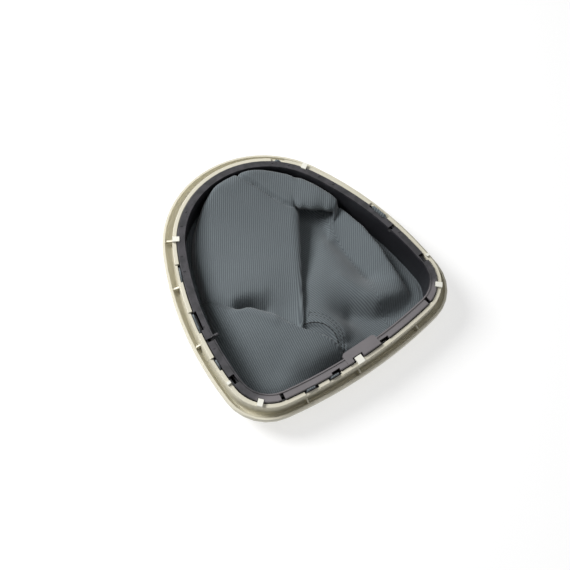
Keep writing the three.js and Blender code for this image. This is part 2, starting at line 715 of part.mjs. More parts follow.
function gaiterSheet() {
  const columns = columnAngles().map(gaiterColumn);
  const rows = columns[0].length;
  const at = (i, j) => columns[(i + columns.length) % columns.length][THREE.MathUtils.clamp(j, 0, rows - 1)];
  const top = [];
  const underside = [];
  for (let i = 0; i < columns.length; i++) {
    for (let j = 0; j < rows; j++) {
      const across = at(i + 1, j).clone().sub(at(i - 1, j));
      const down = at(i, j + 1).clone().sub(at(i, j - 1));
      const normal = down.cross(across).normalize().multiplyScalar(clothThickness / 2);
      top.push(...at(i, j).clone().add(normal).toArray());
      underside.push(...at(i, j).clone().sub(normal).toArray());
    }
  }
  const count = columns.length * rows;
  const index = [];
  for (let i = 0; i < columns.length; i++) {
    const next = (i + 1) % columns.length;
    for (let j = 0; j < rows - 1; j++) {
      const [a, b, c, d] = [i * rows + j, next * rows + j, next * rows + j + 1, i * rows + j + 1];
      index.push(a, c, b, a, d, c, count + a, count + b, count + c, count + a, count + c, count + d);
    }
    const [a, b] = [i * rows, next * rows];
    index.push(a, b, count + b, a, count + b, count + a);
    const [c, d] = [a + rows - 1, b + rows - 1];
    index.push(c, count + d, d, c, count + c, count + d);
  }
  return toSolid(indexedGeometry([...top, ...underside], index));
}

const finishes = {
  trim: new THREE.MeshStandardMaterial({ color: 0xd8d6c6, roughness: 0.45, metalness: 0 }),
  frame: new THREE.MeshStandardMaterial({ color: 0x2b2a30, roughness: 0.5, metalness: 0 }),
  gaiter: new THREE.MeshStandardMaterial({ color: 0x6a7578, roughness: 0.9, metalness: 0 }),
};

const gearGaiter = new THREE.Group();
function addPart(name, solid, material) {
  const mesh = new THREE.Mesh(toGeometry(solid), material);
  mesh.name = name;
  gearGaiter.add(mesh);
}

addPart('trim_bezel', trimBezel(), finishes.trim);
addPart('retaining_frame', retainingFrame(), finishes.frame);
addPart('gaiter', gaiterSheet(), finishes.gaiter);

export default gearGaiter;
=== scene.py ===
"""Looks of a gear lever gaiter that lies face down: bezel, retaining frame and folded gaiter."""
import logging
import math
from dataclasses import dataclass, field
from enum import Enum
from typing import Callable, Sequence

import bpy
import numpy as np
from mathutils import Matrix, Vector


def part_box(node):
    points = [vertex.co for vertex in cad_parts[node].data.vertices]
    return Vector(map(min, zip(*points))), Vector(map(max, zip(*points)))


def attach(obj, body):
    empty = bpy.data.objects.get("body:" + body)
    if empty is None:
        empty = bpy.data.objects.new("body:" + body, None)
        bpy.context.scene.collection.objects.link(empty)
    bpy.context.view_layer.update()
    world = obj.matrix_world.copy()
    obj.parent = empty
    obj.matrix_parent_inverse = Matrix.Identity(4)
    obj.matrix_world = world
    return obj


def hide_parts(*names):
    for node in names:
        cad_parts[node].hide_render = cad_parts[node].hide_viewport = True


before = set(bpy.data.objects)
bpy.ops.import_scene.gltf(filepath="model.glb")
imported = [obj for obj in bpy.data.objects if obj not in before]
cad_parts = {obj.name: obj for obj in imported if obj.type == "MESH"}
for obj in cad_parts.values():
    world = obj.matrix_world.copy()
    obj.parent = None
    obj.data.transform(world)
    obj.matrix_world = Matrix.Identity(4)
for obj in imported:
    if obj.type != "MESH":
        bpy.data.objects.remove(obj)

LOG = logging.getLogger("gaiter")
MM = 0.001
# Keep a division and a logarithm away from zero
TINY = 1e-12
LOG_TINY = 1e-9
# Reach of a pleat to each side of its direction, in degrees
PLEAT_SPREAD = 2.6
# The frame's flange round its well, and the radii of the well's base, corners, sides and apex
FLANGE = 5.4
WELL_RADII = (357.0, 20.7, 211.0, 58.4)
Colour = tuple[float, float, float]
Height = Callable[[np.ndarray], np.ndarray]


class Panel(Enum):
    """Panels of the folded gaiter, each with the direction of its knit ribs in degrees."""

    LEFT = 57.5
    NEAR = 82.6
    LOW = 106.0


class Side(Enum):
    """Sides of the gaiter's cloth, each with the number of its material."""

    KNIT = 0
    LEATHER = 1


def srgb(red: int, green: int, blue: int) -> Colour:
    """Returns the linear colour of display values from 0 to 255."""
    return tuple(
        c / 12.92 if c <= 0.04045 else ((c + 0.055) / 1.055) ** 2.4
        for c in (red / 255, green / 255, blue / 255)
    )


class Value:
    """A node's output in a Python expression, which adds Math nodes as it is evaluated.

    Args:
        shader: the node tree that the nodes are added to.
        socket: the output socket that holds the value.
    """

    def __init__(self, shader: "Nodes", socket: bpy.types.NodeSocket) -> None:
        """Keeps the tree and the socket."""
        self.shader = shader
        self.socket = socket

    def maths(self, operation: str, *operands: "Value | float") -> "Value":
        """Adds one Math node.

        Args:
            operation: the node's operation.
            operands: its inputs in order.

        Returns:
            The node's result.
        """
        return self.shader.node(
            "ShaderNodeMath", {"operation": operation}, dict(enumerate(operands))
        )

    def __add__(self, other: "Value | float") -> "Value":
        """Returns self + other."""
        return self.maths("ADD", self, other)

    def __radd__(self, other: float) -> "Value":
        """Returns other + self."""
        return self.maths("ADD", other, self)

    def __sub__(self, other: "Value | float") -> "Value":
        """Returns self - other."""
        return self.maths("SUBTRACT", self, other)

    def __rsub__(self, other: float) -> "Value":
        """Returns other - self."""
        return self.maths("SUBTRACT", other, self)

    def __mul__(self, other: "Value | float") -> "Value":
        """Returns self * other."""
        return self.maths("MULTIPLY", self, other)

    def __rmul__(self, other: float) -> "Value":
        """Returns other * self."""
        return self.maths("MULTIPLY", other, self)

    def beside(self, output: str | int) -> "Value":
        """Returns another output of the same node."""
        return Value(self.shader, self.socket.node.outputs[output])

    def greater(self, other: "Value | float") -> "Value":
        """Returns the greater of two values."""
        return self.maths("MAXIMUM", self, other)

    def wave(self) -> "Value":
        """Returns the sine of the value in radians, moved to lie from 0 to 1."""
        return self.maths("SINE", self) * 0.5 + 0.5

    def above(self, start: float, end: float) -> "Value":
        """Returns a smooth step.

        Args:
            start: where the step leaves 0.
            end: where it reaches 1.

        Returns:
            The step's value.
        """
        return self.shader.node(
            "ShaderNodeMapRange",
            {"interpolation_type": "SMOOTHSTEP"},
            {"Value": self, "From Min": start, "From Max": end},
        )


class Nodes:
    """A node tree, with one method that adds any node."""

    def __init__(self, tree: bpy.types.NodeTree) -> None:
        """Keeps the tree."""
        self.tree = tree

    def node(
        self,
        kind: str,
        settings: dict[str, object] | None = None,
        inputs: dict[str | int, object] | None = None,
        output: str | int = 0,
    ) -> Value:
        """Adds a node.

        Args:
            kind: the node's type.
            settings: its properties, which are set first.
            inputs: values or links of its sockets, by name or number.
            output: the output to hand back.

        Returns:
            The chosen output.
        """
        node = self.tree.nodes.new(kind)
        for key, setting in (settings or {}).items():
            setattr(node, key, setting)
        for key, given in (inputs or {}).items():
            self.feed(node.inputs[key], given)
        return Value(self, node.outputs[output])

    def feed(self, socket: bpy.types.NodeSocket, given: object) -> None:
        """Links a value to a socket, or sets the socket's own number or colour.

        Args:
            socket: the input socket.
            given: a value to link, or a number or colour to set.
        """
        if isinstance(given, Value):
            self.tree.links.new(given.socket, socket)
        elif socket.type == "RGBA":
            socket.default_value = (*given, 1.0)
        else:
            socket.default_value = given


class Shader(Nodes):
    """A material's node tree, which ends in a Principled surface."""

    def __init__(self, name: str) -> None:
        """Makes a material and keeps its surface.

        Args:
            name: the material's name.
        """
        self.material = bpy.data.materials.new(name)
        self.material.use_nodes = True
        super().__init__(self.material.node_tree)
        self.surface = self.tree.nodes["Principled BSDF"]

    def set(self, **sockets: object) -> None:
        """Feeds the surface's sockets, whose spaces are written as underscores."""
        for key, given in sockets.items():
            self.feed(self.surface.inputs[key.replace("_", " ")], given)

    def mix(self, share: Value | float, low: object, high: object) -> Value:
        """Lays one colour over another.

        Args:
            share: how much of the second colour shows.
            low: the first colour.
            high: the second colour.

        Returns:
            The mixed colour.
        """
        settings = {"data_type": "RGBA", "clamp_factor": True}
        return self.node("ShaderNodeMix", settings, {0: share, 6: low, 7: high}, output=2)

    def place(self) -> Value:
        """Returns the place on the object, in metres."""
        return self.node("ShaderNodeTexCoord", output="Object")

    def noise(self, place: Value, scale: float, detail: float = 2.0) -> Value:
        """Returns a noise from 0 to 1 at the given scale for each metre."""
        inputs = {"Vector": place, "Scale": scale, "Detail": detail}
        return self.node("ShaderNodeTexNoise", {}, inputs)

    def parts(self, vector: Value) -> tuple[Value, Value, Value]:
        """Returns the three parts of a vector."""
        first = self.node("ShaderNodeSeparateXYZ", {}, {0: vector})
        return first, first.beside(1), first.beside(2)

    def bump(self, height: Value, depth: float) -> Value:
        """Returns a normal bumped by a relief from 0 to 1, with its real depth in metres."""
        inputs = {"Height": height, "Distance": depth, "Strength": 1.0}
        return self.node("ShaderNodeBump", {}, inputs)


@dataclass(frozen=True)
class IvoryPlastic:
    """Ivory moulding: satin, with a fine texture, with painted shade low in the trough and a
    painted highlight on the hook tops.
    """

    colour: Colour = srgb(203, 199, 183)
    # Painted shade: a darker, yellower colour low in the trough, where shade falls
    trough_shade_colour: Colour = srgb(200, 191, 154)
    # Painted highlight: a lighter colour on the hook tops, where light falls
    hook_highlight_colour: Colour = srgb(226, 225, 215)
    roughness: float = 0.36
    roughness_range: float = 0.12
    # Height below which the trough's painted shade shows, its fade, and its share against the
    # random cloud
    trough_height: float = 0.017
    trough_fade: float = 0.009
    trough_shade_share: float = 0.85
    # Height above which the painted highlight on the hook tops shows, and its fade
    hook_height: float = 0.0286
    hook_fade: float = 0.0006
    cloud_scale: float = 22.0
    texture_scale: float = 1400.0
    texture_depth: float = 0.00003

    def material(self) -> bpy.types.Material:
        """Makes the moulding's finish.

        Returns:
            The material.
        """
        shader = Shader("ivory_plastic")
        place = shader.place()
        _, _, height = shader.parts(place)
        cloud = shader.noise(place, self.cloud_scale, 3.0)
        # Painted shade low in the trough, blended with a random cloud tone
        trough = 1.0 - height.above(self.trough_height - self.trough_fade, self.trough_height)
        trough_shade_and_cloud = trough * self.trough_shade_share + cloud * (1.0 - self.trough_shade_share)
        tone = shader.mix(trough_shade_and_cloud, self.colour, self.trough_shade_colour)
        # Painted highlight on the hook tops
        hook_highlight = height.above(self.hook_height - self.hook_fade, self.hook_height)
        grain = shader.noise(place, self.texture_scale)
        shader.set(
            Base_Color=shader.mix(hook_highlight, tone, self.hook_highlight_colour),
            Roughness=cloud * self.roughness_range + self.roughness,
            Normal=shader.bump(grain, self.texture_depth),
        )
        return shader.material


@dataclass(frozen=True)
class DarkPlastic:
    """Near-black moulding: satin, with worn grey mottle on its tops, and a lighter grey top on the
    base bar.
    """

    colour: Colour = srgb(27, 27, 31)
    worn_colour: Colour = srgb(24, 24, 27)
    rubbed_colour: Colour = srgb(52, 50, 54)
    # The base bar's top is this lighter grey
    bar_colour: Colour = srgb(112, 108, 110)
    roughness: float = 0.32
    roughness_range: float = 0.2
    wear: float = 0.6
    wear_range: float = 0.5
    top_height: float = 0.0285
    top_fade: float = 0.001
    bar_end: float = -0.066
    bar_fade: float = 0.008
    cloud_scale: float = 60.0
    mottle_scale: float = 170.0
    mottle_step: tuple[float, float] = (0.36, 0.62)
    texture_scale: float = 2200.0
    texture_depth: float = 0.00004

    def material(self) -> bpy.types.Material:
        """Makes the moulding's finish.

        Returns:
            The material.
        """
        shader = Shader("dark_plastic")
        place = shader.place()
        _, across, height = shader.parts(place)
        cloud = shader.noise(place, self.cloud_scale, 4.0)
        mottle = shader.noise(place, self.mottle_scale, 3.0).above(*self.mottle_step)
        top = height.above(self.top_height - self.top_fade, self.top_height)
        # Lighter grey on the base bar's top, past bar_end
        bar = 1.0 - across.above(self.bar_end - self.bar_fade, self.bar_end)
        band = shader.mix(mottle, self.worn_colour, self.rubbed_colour)
        top_tone = shader.mix(bar, band, self.bar_colour)
        grain = shader.noise(place, self.texture_scale)
        shader.set(
            Base_Color=shader.mix(
                top * (cloud * self.wear_range + self.wear), self.colour, top_tone
            ),
            Roughness=cloud * self.roughness_range + self.roughness,
            Normal=shader.bump(grain, self.texture_depth),
        )
        return shader.material


@dataclass(frozen=True)
class KnitBacking:
    """Grey warp-knit backing: fine ribs along the cloth, with a row of loops in each."""

    rib_colour: Colour = srgb(118, 126, 129)
    gap_colour: Colour = srgb(74, 80, 84)
    worn_colour: Colour = srgb(96, 104, 108)
    rib_pitch: float = 1.36
    rib_depth: float = 0.00022
    rib_shine: float = 0.08
    loop_pitch: float = 1.1
    loop_lag: float = 2.0
    loop_share: float = 0.25
    wander_scale: float = 260.0
    wander: float = 1.2
    cloud_scale: float = 34.0
    cloud_share: float = 0.7
    fuzz_scale: float = 1900.0
    fuzz_share: float = 0.2
    fuzz_relief: float = 0.15
    roughness: float = 0.92
    specular: float = 0.25
    sheen: float = 0.25
    sheen_roughness: float = 0.5

    def material(self) -> bpy.types.Material:
        """Makes the backing's finish, which reads the cloth's own coordinates in mm.

        Returns:
            The material.
        """
        shader = Shader("knit_backing")
        settings = {"attribute_name": "cloth"}
        cloth = shader.node("ShaderNodeAttribute", settings, output="Vector")
        across, along, _ = shader.parts(cloth)
        wander = shader.noise(shader.place(), self.wander_scale)
        rib = (across * (math.tau / self.rib_pitch) + wander * self.wander).wave()
        loop = (along * (math.tau / self.loop_pitch) + rib * self.loop_lag).wave()
        relief = rib * (1.0 - self.loop_share) + rib * loop * self.loop_share
        cloud = shader.noise(shader.place(), self.cloud_scale, 4.0)
        fuzz = shader.noise(shader.place(), self.fuzz_scale)
        lit = shader.mix(cloud * self.cloud_share, self.rib_colour, self.worn_colour)
        shown = relief * (1.0 - self.fuzz_share) + fuzz * self.fuzz_share
        height = relief * (1.0 - self.fuzz_relief) + fuzz * self.fuzz_relief
        shader.set(
            Base_Color=shader.mix(shown, self.gap_colour, lit),
            Roughness=self.roughness - rib * self.rib_shine,
            Normal=shader.bump(height, self.rib_depth),
            Specular_IOR_Level=self.specular,
            Sheen_Weight=self.sheen,
            Sheen_Roughness=self.sheen_roughness,
        )
        return shader.material


@dataclass(frozen=True)
class GrainedLeather:
    """Black grained leatherette on the gaiter's show side, which faces down."""

    colour: Colour = srgb(26, 26, 28)
    crease_colour: Colour = srgb(15, 15, 16)
    roughness: float = 0.62
    pebble_shine: float = 0.14
    grain_scale: float = 620.0
    grain_depth: float = 0.00018
    crease_width: float = 0.22

    def material(self) -> bpy.types.Material:
        """Makes the leatherette's finish.

        Returns:
            The material.
        """
        shader = Shader("grained_leather")
        cells = shader.node(
            "ShaderNodeTexVoronoi",
            {"feature": "DISTANCE_TO_EDGE"},
            {"Vector": shader.place(), "Scale": self.grain_scale},
        )
        pebble = cells.above(0.0, self.crease_width)
        shader.set(
            Base_Color=shader.mix(pebble, self.crease_colour, self.colour),
            Roughness=self.roughness - pebble * self.pebble_shine,
            Normal=shader.bump(pebble, self.grain_depth),
        )
        return shader.material


@dataclass(frozen=True)
class SewingThread:
    """Near-black twisted thread."""

    colour: Colour = srgb(8, 8, 9)
    fleck_colour: Colour = srgb(22, 23, 24)
    twist_scale: float = 9000.0
    twist_depth: float = 0.00005
    roughness: float = 0.6
    roughness_range: float = 0.1

    def material(self) -> bpy.types.Material:
        """Makes the thread's finish.

        Returns:
            The material.
        """
        shader = Shader("sewing_thread")
        across, along, _ = shader.parts(shader.place())
        twist = ((across + along) * self.twist_scale).wave()
        shader.set(
            Base_Color=shader.mix(twist, self.colour, self.fleck_colour),
            Roughness=twist * self.roughness_range + self.roughness,
            Normal=shader.bump(twist, self.twist_depth),
        )
        return shader.material


def smooth_step(start: float, end: float, value: np.ndarray | float) -> np.ndarray:
    """Returns a smooth step from 0 at start to 1 at end."""
    share = np.clip((np.asarray(value, float) - start) / (end - start), 0.0, 1.0)
    return share * share * (3 - 2 * share)


def make_piece(
    name: str,
    points: np.ndarray,
    faces: Sequence[Sequence[int]],
    *materials: bpy.types.Material,
) -> bpy.types.Object:
    """Makes an object and puts it in the scene.

    Args:
        name: its name.
        points: its vertices in mm.
        faces: the numbers of each face's vertices.
        materials: its materials in order.

    Returns:
        The object.
    """
    mesh = bpy.data.meshes.new(name)
    mesh.from_pydata((points * MM).tolist(), [], faces)
    for material in materials:
        mesh.materials.append(material)
    piece = bpy.data.objects.new(name, mesh)
    bpy.context.scene.collection.objects.link(piece)
    return piece


def tube_faces(start: int, rings: int, sides: int) -> list[list[int]]:
    """Joins rings of vertices into a tube with closed ends.

    Args:
        start: the number of the first ring's first vertex.
        rings: how many rings there are.
        sides: how many vertices each ring has.

    Returns:
        The tube's faces.
    """
    faces = []
    for ring in range(start, start + (rings - 1) * sides, sides):
        for side in range(sides):
            a, b = ring + side, ring + (side + 1) % sides
            faces.append([a, b, b + sides, a + sides])
    last = start + (rings - 1) * sides
    return [*faces, list(range(start, start + sides))[::-1], list(range(last, last + sides))]


@dataclass
class ArcOutline:
    """Outline of four tangent arcs on each half: base edge, corner, side and apex, in mm.

    Args:
        length: from the base edge to the apex.
        width: across the sides.
        base_y: place of the base edge.
        radii: of the base, corner, side and apex arcs.
        arc_points: how many points each arc has.
    """

    length: float
    width: float
    base_y: float
    radii: tuple[float, float, float, float]
    arc_points: int = 200
    points: np.ndarray = field(init=False)
    normals: np.ndarray = field(init=False)

    def __post_init__(self) -> None:
        """Works out the points on the outline and their outward normals."""
        base_r, corner_r, side_r, apex_r = self.radii
        base = np.array([0.0, self.base_y + base_r])
        corner_x = self.width / 2 - corner_r
        reach = base_r - corner_r
        corner = np.array([corner_x, base[1] - math.sqrt(reach**2 - corner_x**2)])
        apex = np.array([0.0, self.base_y + self.length - apex_r])
        side = self.tangent_centre(corner, side_r - corner_r, apex, side_r - apex_r)
        turned = [self.heading(gap) for gap in (corner - base, corner - side, apex - side)]
        joins = [0.0, *turned, math.pi]
        points, normals = [], []
        for arc, (centre, radius) in enumerate(zip((base, corner, side, apex), self.radii)):
            turn = np.linspace(joins[arc], joins[arc + 1], self.arc_points, endpoint=False)
            normal = np.stack([np.sin(turn), -np.cos(turn)], axis=1)
            points.append(centre + radius * normal)
            normals.append(normal)
        mirror = np.array([-1.0, 1.0])
        self.points, self.normals = (
            np.concatenate([half, half[:0:-1] * mirror])
            for half in (np.concatenate(points), np.concatenate(normals))
        )

    @staticmethod
    def heading(vector: np.ndarray) -> float:
        """Returns the angle from the direction of the base edge, anticlockwise."""
        return math.atan2(vector[0], -vector[1])

    @staticmethod
    def tangent_centre(
        first: np.ndarray, from_first: float, second: np.ndarray, from_second: float
    ) -> np.ndarray:
        """Finds the point at given distances from two centres, on the arc's far side.

        Args:
            first: the first centre.
            from_first: the distance from it.
            second: the second centre.
            from_second: the distance from it.

        Returns:
            The point.
        """
        apart = float(np.linalg.norm(second - first))
        along = (from_first**2 - from_second**2 + apart**2) / (2 * apart)
        across = math.sqrt(from_first**2 - along**2)
        unit = (second - first) / apart
        return first + unit * along + np.array([-unit[1], unit[0]]) * across

    def meeting(self, start: np.ndarray, turn: float) -> tuple[np.ndarray, np.ndarray]:
        """Finds where a ray leaves the outline.

        Args:
            start: the ray's start inside the outline.
            turn: its direction in radians.

        Returns:
            The point on the outline and the outward normal there.
        """
        direction = np.array([math.cos(turn), math.sin(turn)])
        offset = self.points - start
        side = direction[0] * offset[:, 1] - direction[1] * offset[:, 0]
        after = np.roll(side, -1)
        ahead = offset @ direction > 0
        index = int(np.flatnonzero(ahead & (side <= 0) & (after > 0))[0])
        share = side[index] / (side[index] - after[index])
        following = (index + 1) % len(self.points)
        point = self.points[index] * (1 - share) + self.points[following] * share
        normal = self.normals[index] * (1 - share) + self.normals[following] * share
        return point, normal / np.linalg.norm(normal)


@dataclass(frozen=True)
class Groove:
    """A soft dent or swell that runs along a line in plan, in mm."""

    line: tuple[tuple[float, float], ...]
    height: float
    width: float

    def at(self, plan: np.ndarray) -> np.ndarray:
        """Finds its relief.

        Args:
            plan: places in plan.

        Returns:
            The height that it adds at each place.
        """
        nearest = np.full(plan.shape[:-1], np.inf)
        line = np.array(self.line, float)
        for start, end in zip(line[:-1], line[1:]):
            path = end - start
            share = np.clip((plan - start) @ path / (path @ path), 0.0, 1.0)
            apart = plan - start - share[..., None] * path
            nearest = np.minimum(nearest, np.hypot(apart[..., 0], apart[..., 1]))
        return self.height * np.exp(-((nearest / self.width) ** 2))


@dataclass(frozen=True)
class Surface:
    """A smooth height over the plan, close to a few crests and valleys in mm (a thin plate)."""

    lines: tuple[tuple[tuple[float, float, float], ...], ...]
    grooves: tuple[Groove, ...] = ()
    spacing: float = 9.0
    stiffness: float = 12.0

    def places(self) -> np.ndarray:
        """Finds evenly spaced places along the crests and valleys.

        Returns:
            Their plan coordinates and heights.
        """
        found = []
        for line in self.lines:
            points = np.array(line, float)
            steps = np.hypot(*np.diff(points[:, :2], axis=0).T)
            length = np.concatenate([[0], np.cumsum(steps)])
            count = max(1, round(length[-1] / self.spacing)) + 1 if len(line) > 1 else 1
            for at in np.linspace(0, length[-1], count):
                found.append([np.interp(at, length, part) for part in points.T])
        return np.array(found)

    def solve(self) -> Height:
        """Fits the plate to its places.

        Returns:
            A function that gives the height at plan places.
        """
        places = self.places()
        plan, height = places[:, :2], places[:, 2]
        count = len(plan)
        kernel = self.kernel(plan, plan) + np.eye(count) * self.stiffness
        flat = np.hstack([np.ones((count, 1)), plan])
        system = np.block([[kernel, flat], [flat.T, np.zeros((3, 3))]])
        weights = np.linalg.solve(system, np.concatenate([height, np.zeros(3)]))

        def at(points: np.ndarray) -> np.ndarray:
            """Reads the fitted height, with the grooves' relief.

            Args:
                points: places in plan.

            Returns:
                The height at each place.
            """
            shape = points.shape[:-1]
            points = points.reshape(-1, 2)
            value = self.kernel(points, plan) @ weights[:count]
            value += weights[count] + points @ weights[count + 1 :]
            value += sum(groove.at(points) for groove in self.grooves)
            return value.reshape(shape)

        return at

    @staticmethod
    def kernel(a: np.ndarray, b: np.ndarray) -> np.ndarray:
        """Returns the thin plate's kernel between two sets of plan points."""
        squared = ((a[:, None, :] - b[None, :, :]) ** 2).sum(-1)
        return squared * np.log(squared + LOG_TINY) * 0.5


@dataclass(frozen=True)
class Pleat:
    """A pleat where one layer of the cloth reaches over the next.

    Args:
        angle: its direction about the gather, in degrees.
        overlap: how far one layer reaches over the other, in mm.
        begin: the share of a column at which it begins.
        full: the share at which it is full.
        limit: the most that it may shift, as a share of what is left of the column.
    """

    angle: float
    overlap: float
    begin: float
    full: float
    limit: float = 0.3

    def aside(self, angle: float, share: np.ndarray, reach: float) -> np.ndarray:
        """Finds how far the pleat pushes a column sideways.

        Args:
            angle: the column's direction.
            share: places along the column, from 0 at the wall to 1.
            reach: the column's length in plan, in mm.

        Returns:
            The shift at each place, in mm.
        """
        across = ((angle - self.angle + 180.0) % 360.0 - 180.0) / PLEAT_SPREAD
        if abs(across) >= 1:
            return np.zeros_like(share)
        shift = np.minimum(self.overlap, reach * (1 - share) * self.limit)
        return -smooth_step(self.begin, self.full, share) * shift * math.sin(math.pi * across)


@dataclass
class FoldedGaiter:
    """The sewn gaiter: clamped round the frame and collapsed in folds inside it, in mm.

    Its columns run from the cloth's outer edge, round the frame's wall and in to the collar.
    Angles are in degrees about the gather, from +X anticlockwise.
    """

    outline: ArcOutline
    cloth_thickness: float = 1.1
    # The gather's middle, its half length along the ridge, and how far its low side is tucked
    gather: tuple[float, float] = (-17.0, -47.0)
    gather_reach: float = 10.0
    gather_tuck: float = 7.0
    # The collar's seams, with the height and width of their dents, and its folded hem
    collar: tuple[float, float] = (-17.0, -55.0)
    seam_radii: tuple[float, float] = (21.3, 19.2)
    seam_dent: tuple[float, float] = (-0.8, 0.6)
    hem_centre: tuple[float, float] = (-17.6, -57.6)
    hem_radius: float = 15.6
    hem_step: float = -1.6
    hem_margin: float = 0.9
    crease: Pleat = Pleat(57.5, 3.8, 0.185, 0.25)
    ridge: Pleat = Pleat(125.5, 4.0, 0.42, 0.56)
    near_end: Pleat = Pleat(296.5, 2.0, 0.35, 0.5)
    # Columns of the mesh, its rows in the well, and how much closer columns lie at a pleat
    columns: int = 390
    well_rows: int = 112
    # Samples along a column before they are spaced evenly, and their crowding at the wall
    samples: int = 420
    crowding: float = 1.5
    # The turn that the columns take about the gather, and the steps it is divided in
    whole_turn: tuple[float, float] = (-63.4, 296.6)
    turn_steps: int = 20001
    # Smoothing: its rounds, and the weights of a point, of those beside it and along it
    smoothing_rounds: int = 3
    smoothing: tuple[float, float, float] = (0.5, 0.2, 0.15)
    pleat_density: float = 5.0
    # Direction, spread and strength of the closer columns across the flap's valley
    valley_density: tuple[float, float, float] = (74.0, 9.0, 1.4)
    left: Surface = Surface((
        ((-4, 79, 32), (4, 80, 33), (10, 67, 28.5), (20, 47, 24.2)),
        ((30, 60, 25.5),),
        ((34, 31, 22.4), (24, 16, 21.6), (11, -3, 20.6), (-7, -27, 18.6), (-18, -43, 16)),
        ((-43.5, -7.6, 12), (-36, -13, 7.6), (-29, -22, 7), (-26, -34, 9.6)),
        ((-46, 6.5, 16.6), (-38, 2, 17.2), (-28, -3, 17.4), (-18, -11, 17.6), (-13, -24, 16.6)),
        ((-12, 76, 29), (-22, 68.5, 24.5), (-36, 56, 19), (-47, 39, 16.4), (-54, 22, 15),
         (-56, 8, 14.6)),
        ((-24, 50.6, 20.2), (-9.5, 41, 21.2), (8, 29.5, 21.9)),
        ((-46, 20, 16.6), (-24, 17, 18.6), (3, 3, 20), (-4, -12, 19)),
    ), (
        Groove(((-42, -7), (-34.5, -10.5), (-28, -17)), -4.5, 3.6),
        Groove(((-43, 0), (-33, -3), (-25, -7)), 1.4, 4.0),
    ))
    near: Surface = Surface((
        ((-58, 20, 14.4), (-50, 6, 15.2)),
        ((-42.5, -6.6, 17), (-36.1, -17.1, 18.6), (-29.9, -29.2, 19.8), (-20, -43.8, 20.6),
         (-14, -55, 20), (-8.5, -64, 18)),
        ((-54, -8, 13), (-47, -28, 14.4), (-38, -42, 16), (-28, -56, 17)),
        ((-60, -7, 11.5), (-60, -28, 8.6), (-57, -48, 7.2), (-48, -56, 8)),
        ((-42, -68, 7.5), (-24, -72, 10), (-8, -76, 9)),
        ((-36, -60, 13.4), (-20, -63, 17)),
        ((-60, -62, 7), (-48, -71, 6)),
    ), (
        Groove(((-43, -8), (-36, -17.5), (-30, -29)), 0.9, 3.0),
    ))
    low: Surface = Surface((
        ((66, 24, 17.5), (66, 2, 17.6), (65, -20, 17), (62.5, -37, 15), (59, -56, 11.4)),
        ((70, 6, 16), (71, -20, 15), (69, -42, 12), (68, -58, 8)),
        ((58, 14, 14.6), (57, -6, 13.6), (56, -24, 13), (54, -42, 11.6)),
        ((44, 16, 7.5), (45.5, -10, 7.2), (47, -36, 8)),
        ((36, 2, 11), (37, -14, 12.2), (38, -32, 12.4)),
        ((6, -19, 15), (20, -20, 15.6), (29, -32, 16), (33, -47, 15.6), (40, -56, 14.6),
         (57, -58, 12)),
        ((25, 47, 4.5), (38, 33, 5), (46, 22, 5)),
        ((24, 30, 5.5), (14, 10, 7), (2, -8, 10)),
        ((26, 12, 7.5), (25, 0, 10)),
        ((12, -45, 10), (18, -53, 5.5), (27, -63, 3), (42, -69, 2.6), (58, -70, 2.8)),
        ((-9.5, -35, 15.2), (-2, -41, 15.8), (3, -51, 15.2), (5, -60.5, 13.4), (-1, -69.5, 11.4)),
        ((0, -28, 14.6), (9, -35, 14.8)),
        ((-17, -50, 13), (-12, -62, 12), (14, -69, 5.4)),
    ), (
        Groove(((46, 16), (45, -8), (48, -34)), -1.6, 6.0),
        Groove(((20, -52), (32, -64), (62, -67)), -3.6, 6.5),
        Groove(((27, -26), (31, -40), (37, -54), (54, -58)), 1.0, 3.5),
        Groove(((52, 24), (50, 12), (45, 3)), 1.5, 3.0),
        Groove(((66, 20), (66, -20), (61, -50)), 0.8, 3.0),
    ))
    # Lowest and highest that the sheet's middle may lie
    lowest: float = 2.6
    highest: float = 29.4
    # The sheet's gap to the wall, and the least slant to it that a column is taken to have
    wall_gap: float = 0.7
    least_slant: float = 0.35
    skirt_reach: float = 2.0
    # Near the wall the layers blend over a wider angle, which narrows along the column
    wall_blend: float = 9.0
    wall_blend_range: tuple[float, float] = (0.22, 0.44)
    # At angles about the gather: gap to the wall, width of the rise beyond it, its floor
    rises: tuple[tuple[float, float, float, float], ...] = (
        (-64, 2.0, 9.0, 3.0), (-30, 3.5, 8.0, 3.0), (-14, 7.0, 5.0, 3.5), (-7, 9.5, 3.5, 4.0),
        (7, 8.5, 3.2, 4.0), (18, 5.5, 2.8, 4.0), (30, 2.5, 2.2, 3.5), (40, 0.6, 1.8, 3.0),
        (50, 0.4, 2.2, 3.0), (62, 0.4, 2.0, 3.0), (72, 0.1, 1.2, 3.0), (86, 0.1, 1.4, 3.0),
        (91, 1.2, 2.4, 3.0), (97, 3.2, 3.4, 3.0),
        (108, 4.0, 4.0, 3.0), (118, 5.0, 4.4, 3.0), (132, 5.4, 5.0, 3.0), (145, 4.4, 8.0, 3.0),
        (160, 2.6, 11.0, 3.0), (200, 1.6, 11.0, 3.0), (225, 2.6, 11.0, 2.4),
        (250, 3.4, 10.0, 2.4), (280, 3.4, 9.0, 2.4), (296, 2.4, 9.0, 3.0),
    )
    # The rolled flap: angles over which it begins, how far it is tucked back, its roll's
    # radius, where its top starts, its shoulder at the wall and its turn beneath
    flap_range: tuple[float, float] = (40.0, 41.8)
    flap_tuck: float = 9.0
    flap_roll: float = 3.3
    flap_start: float = 2.6
    flap_shoulder: tuple[float, float] = (0.8, 1.2)
    flap_turn: float = 2.0
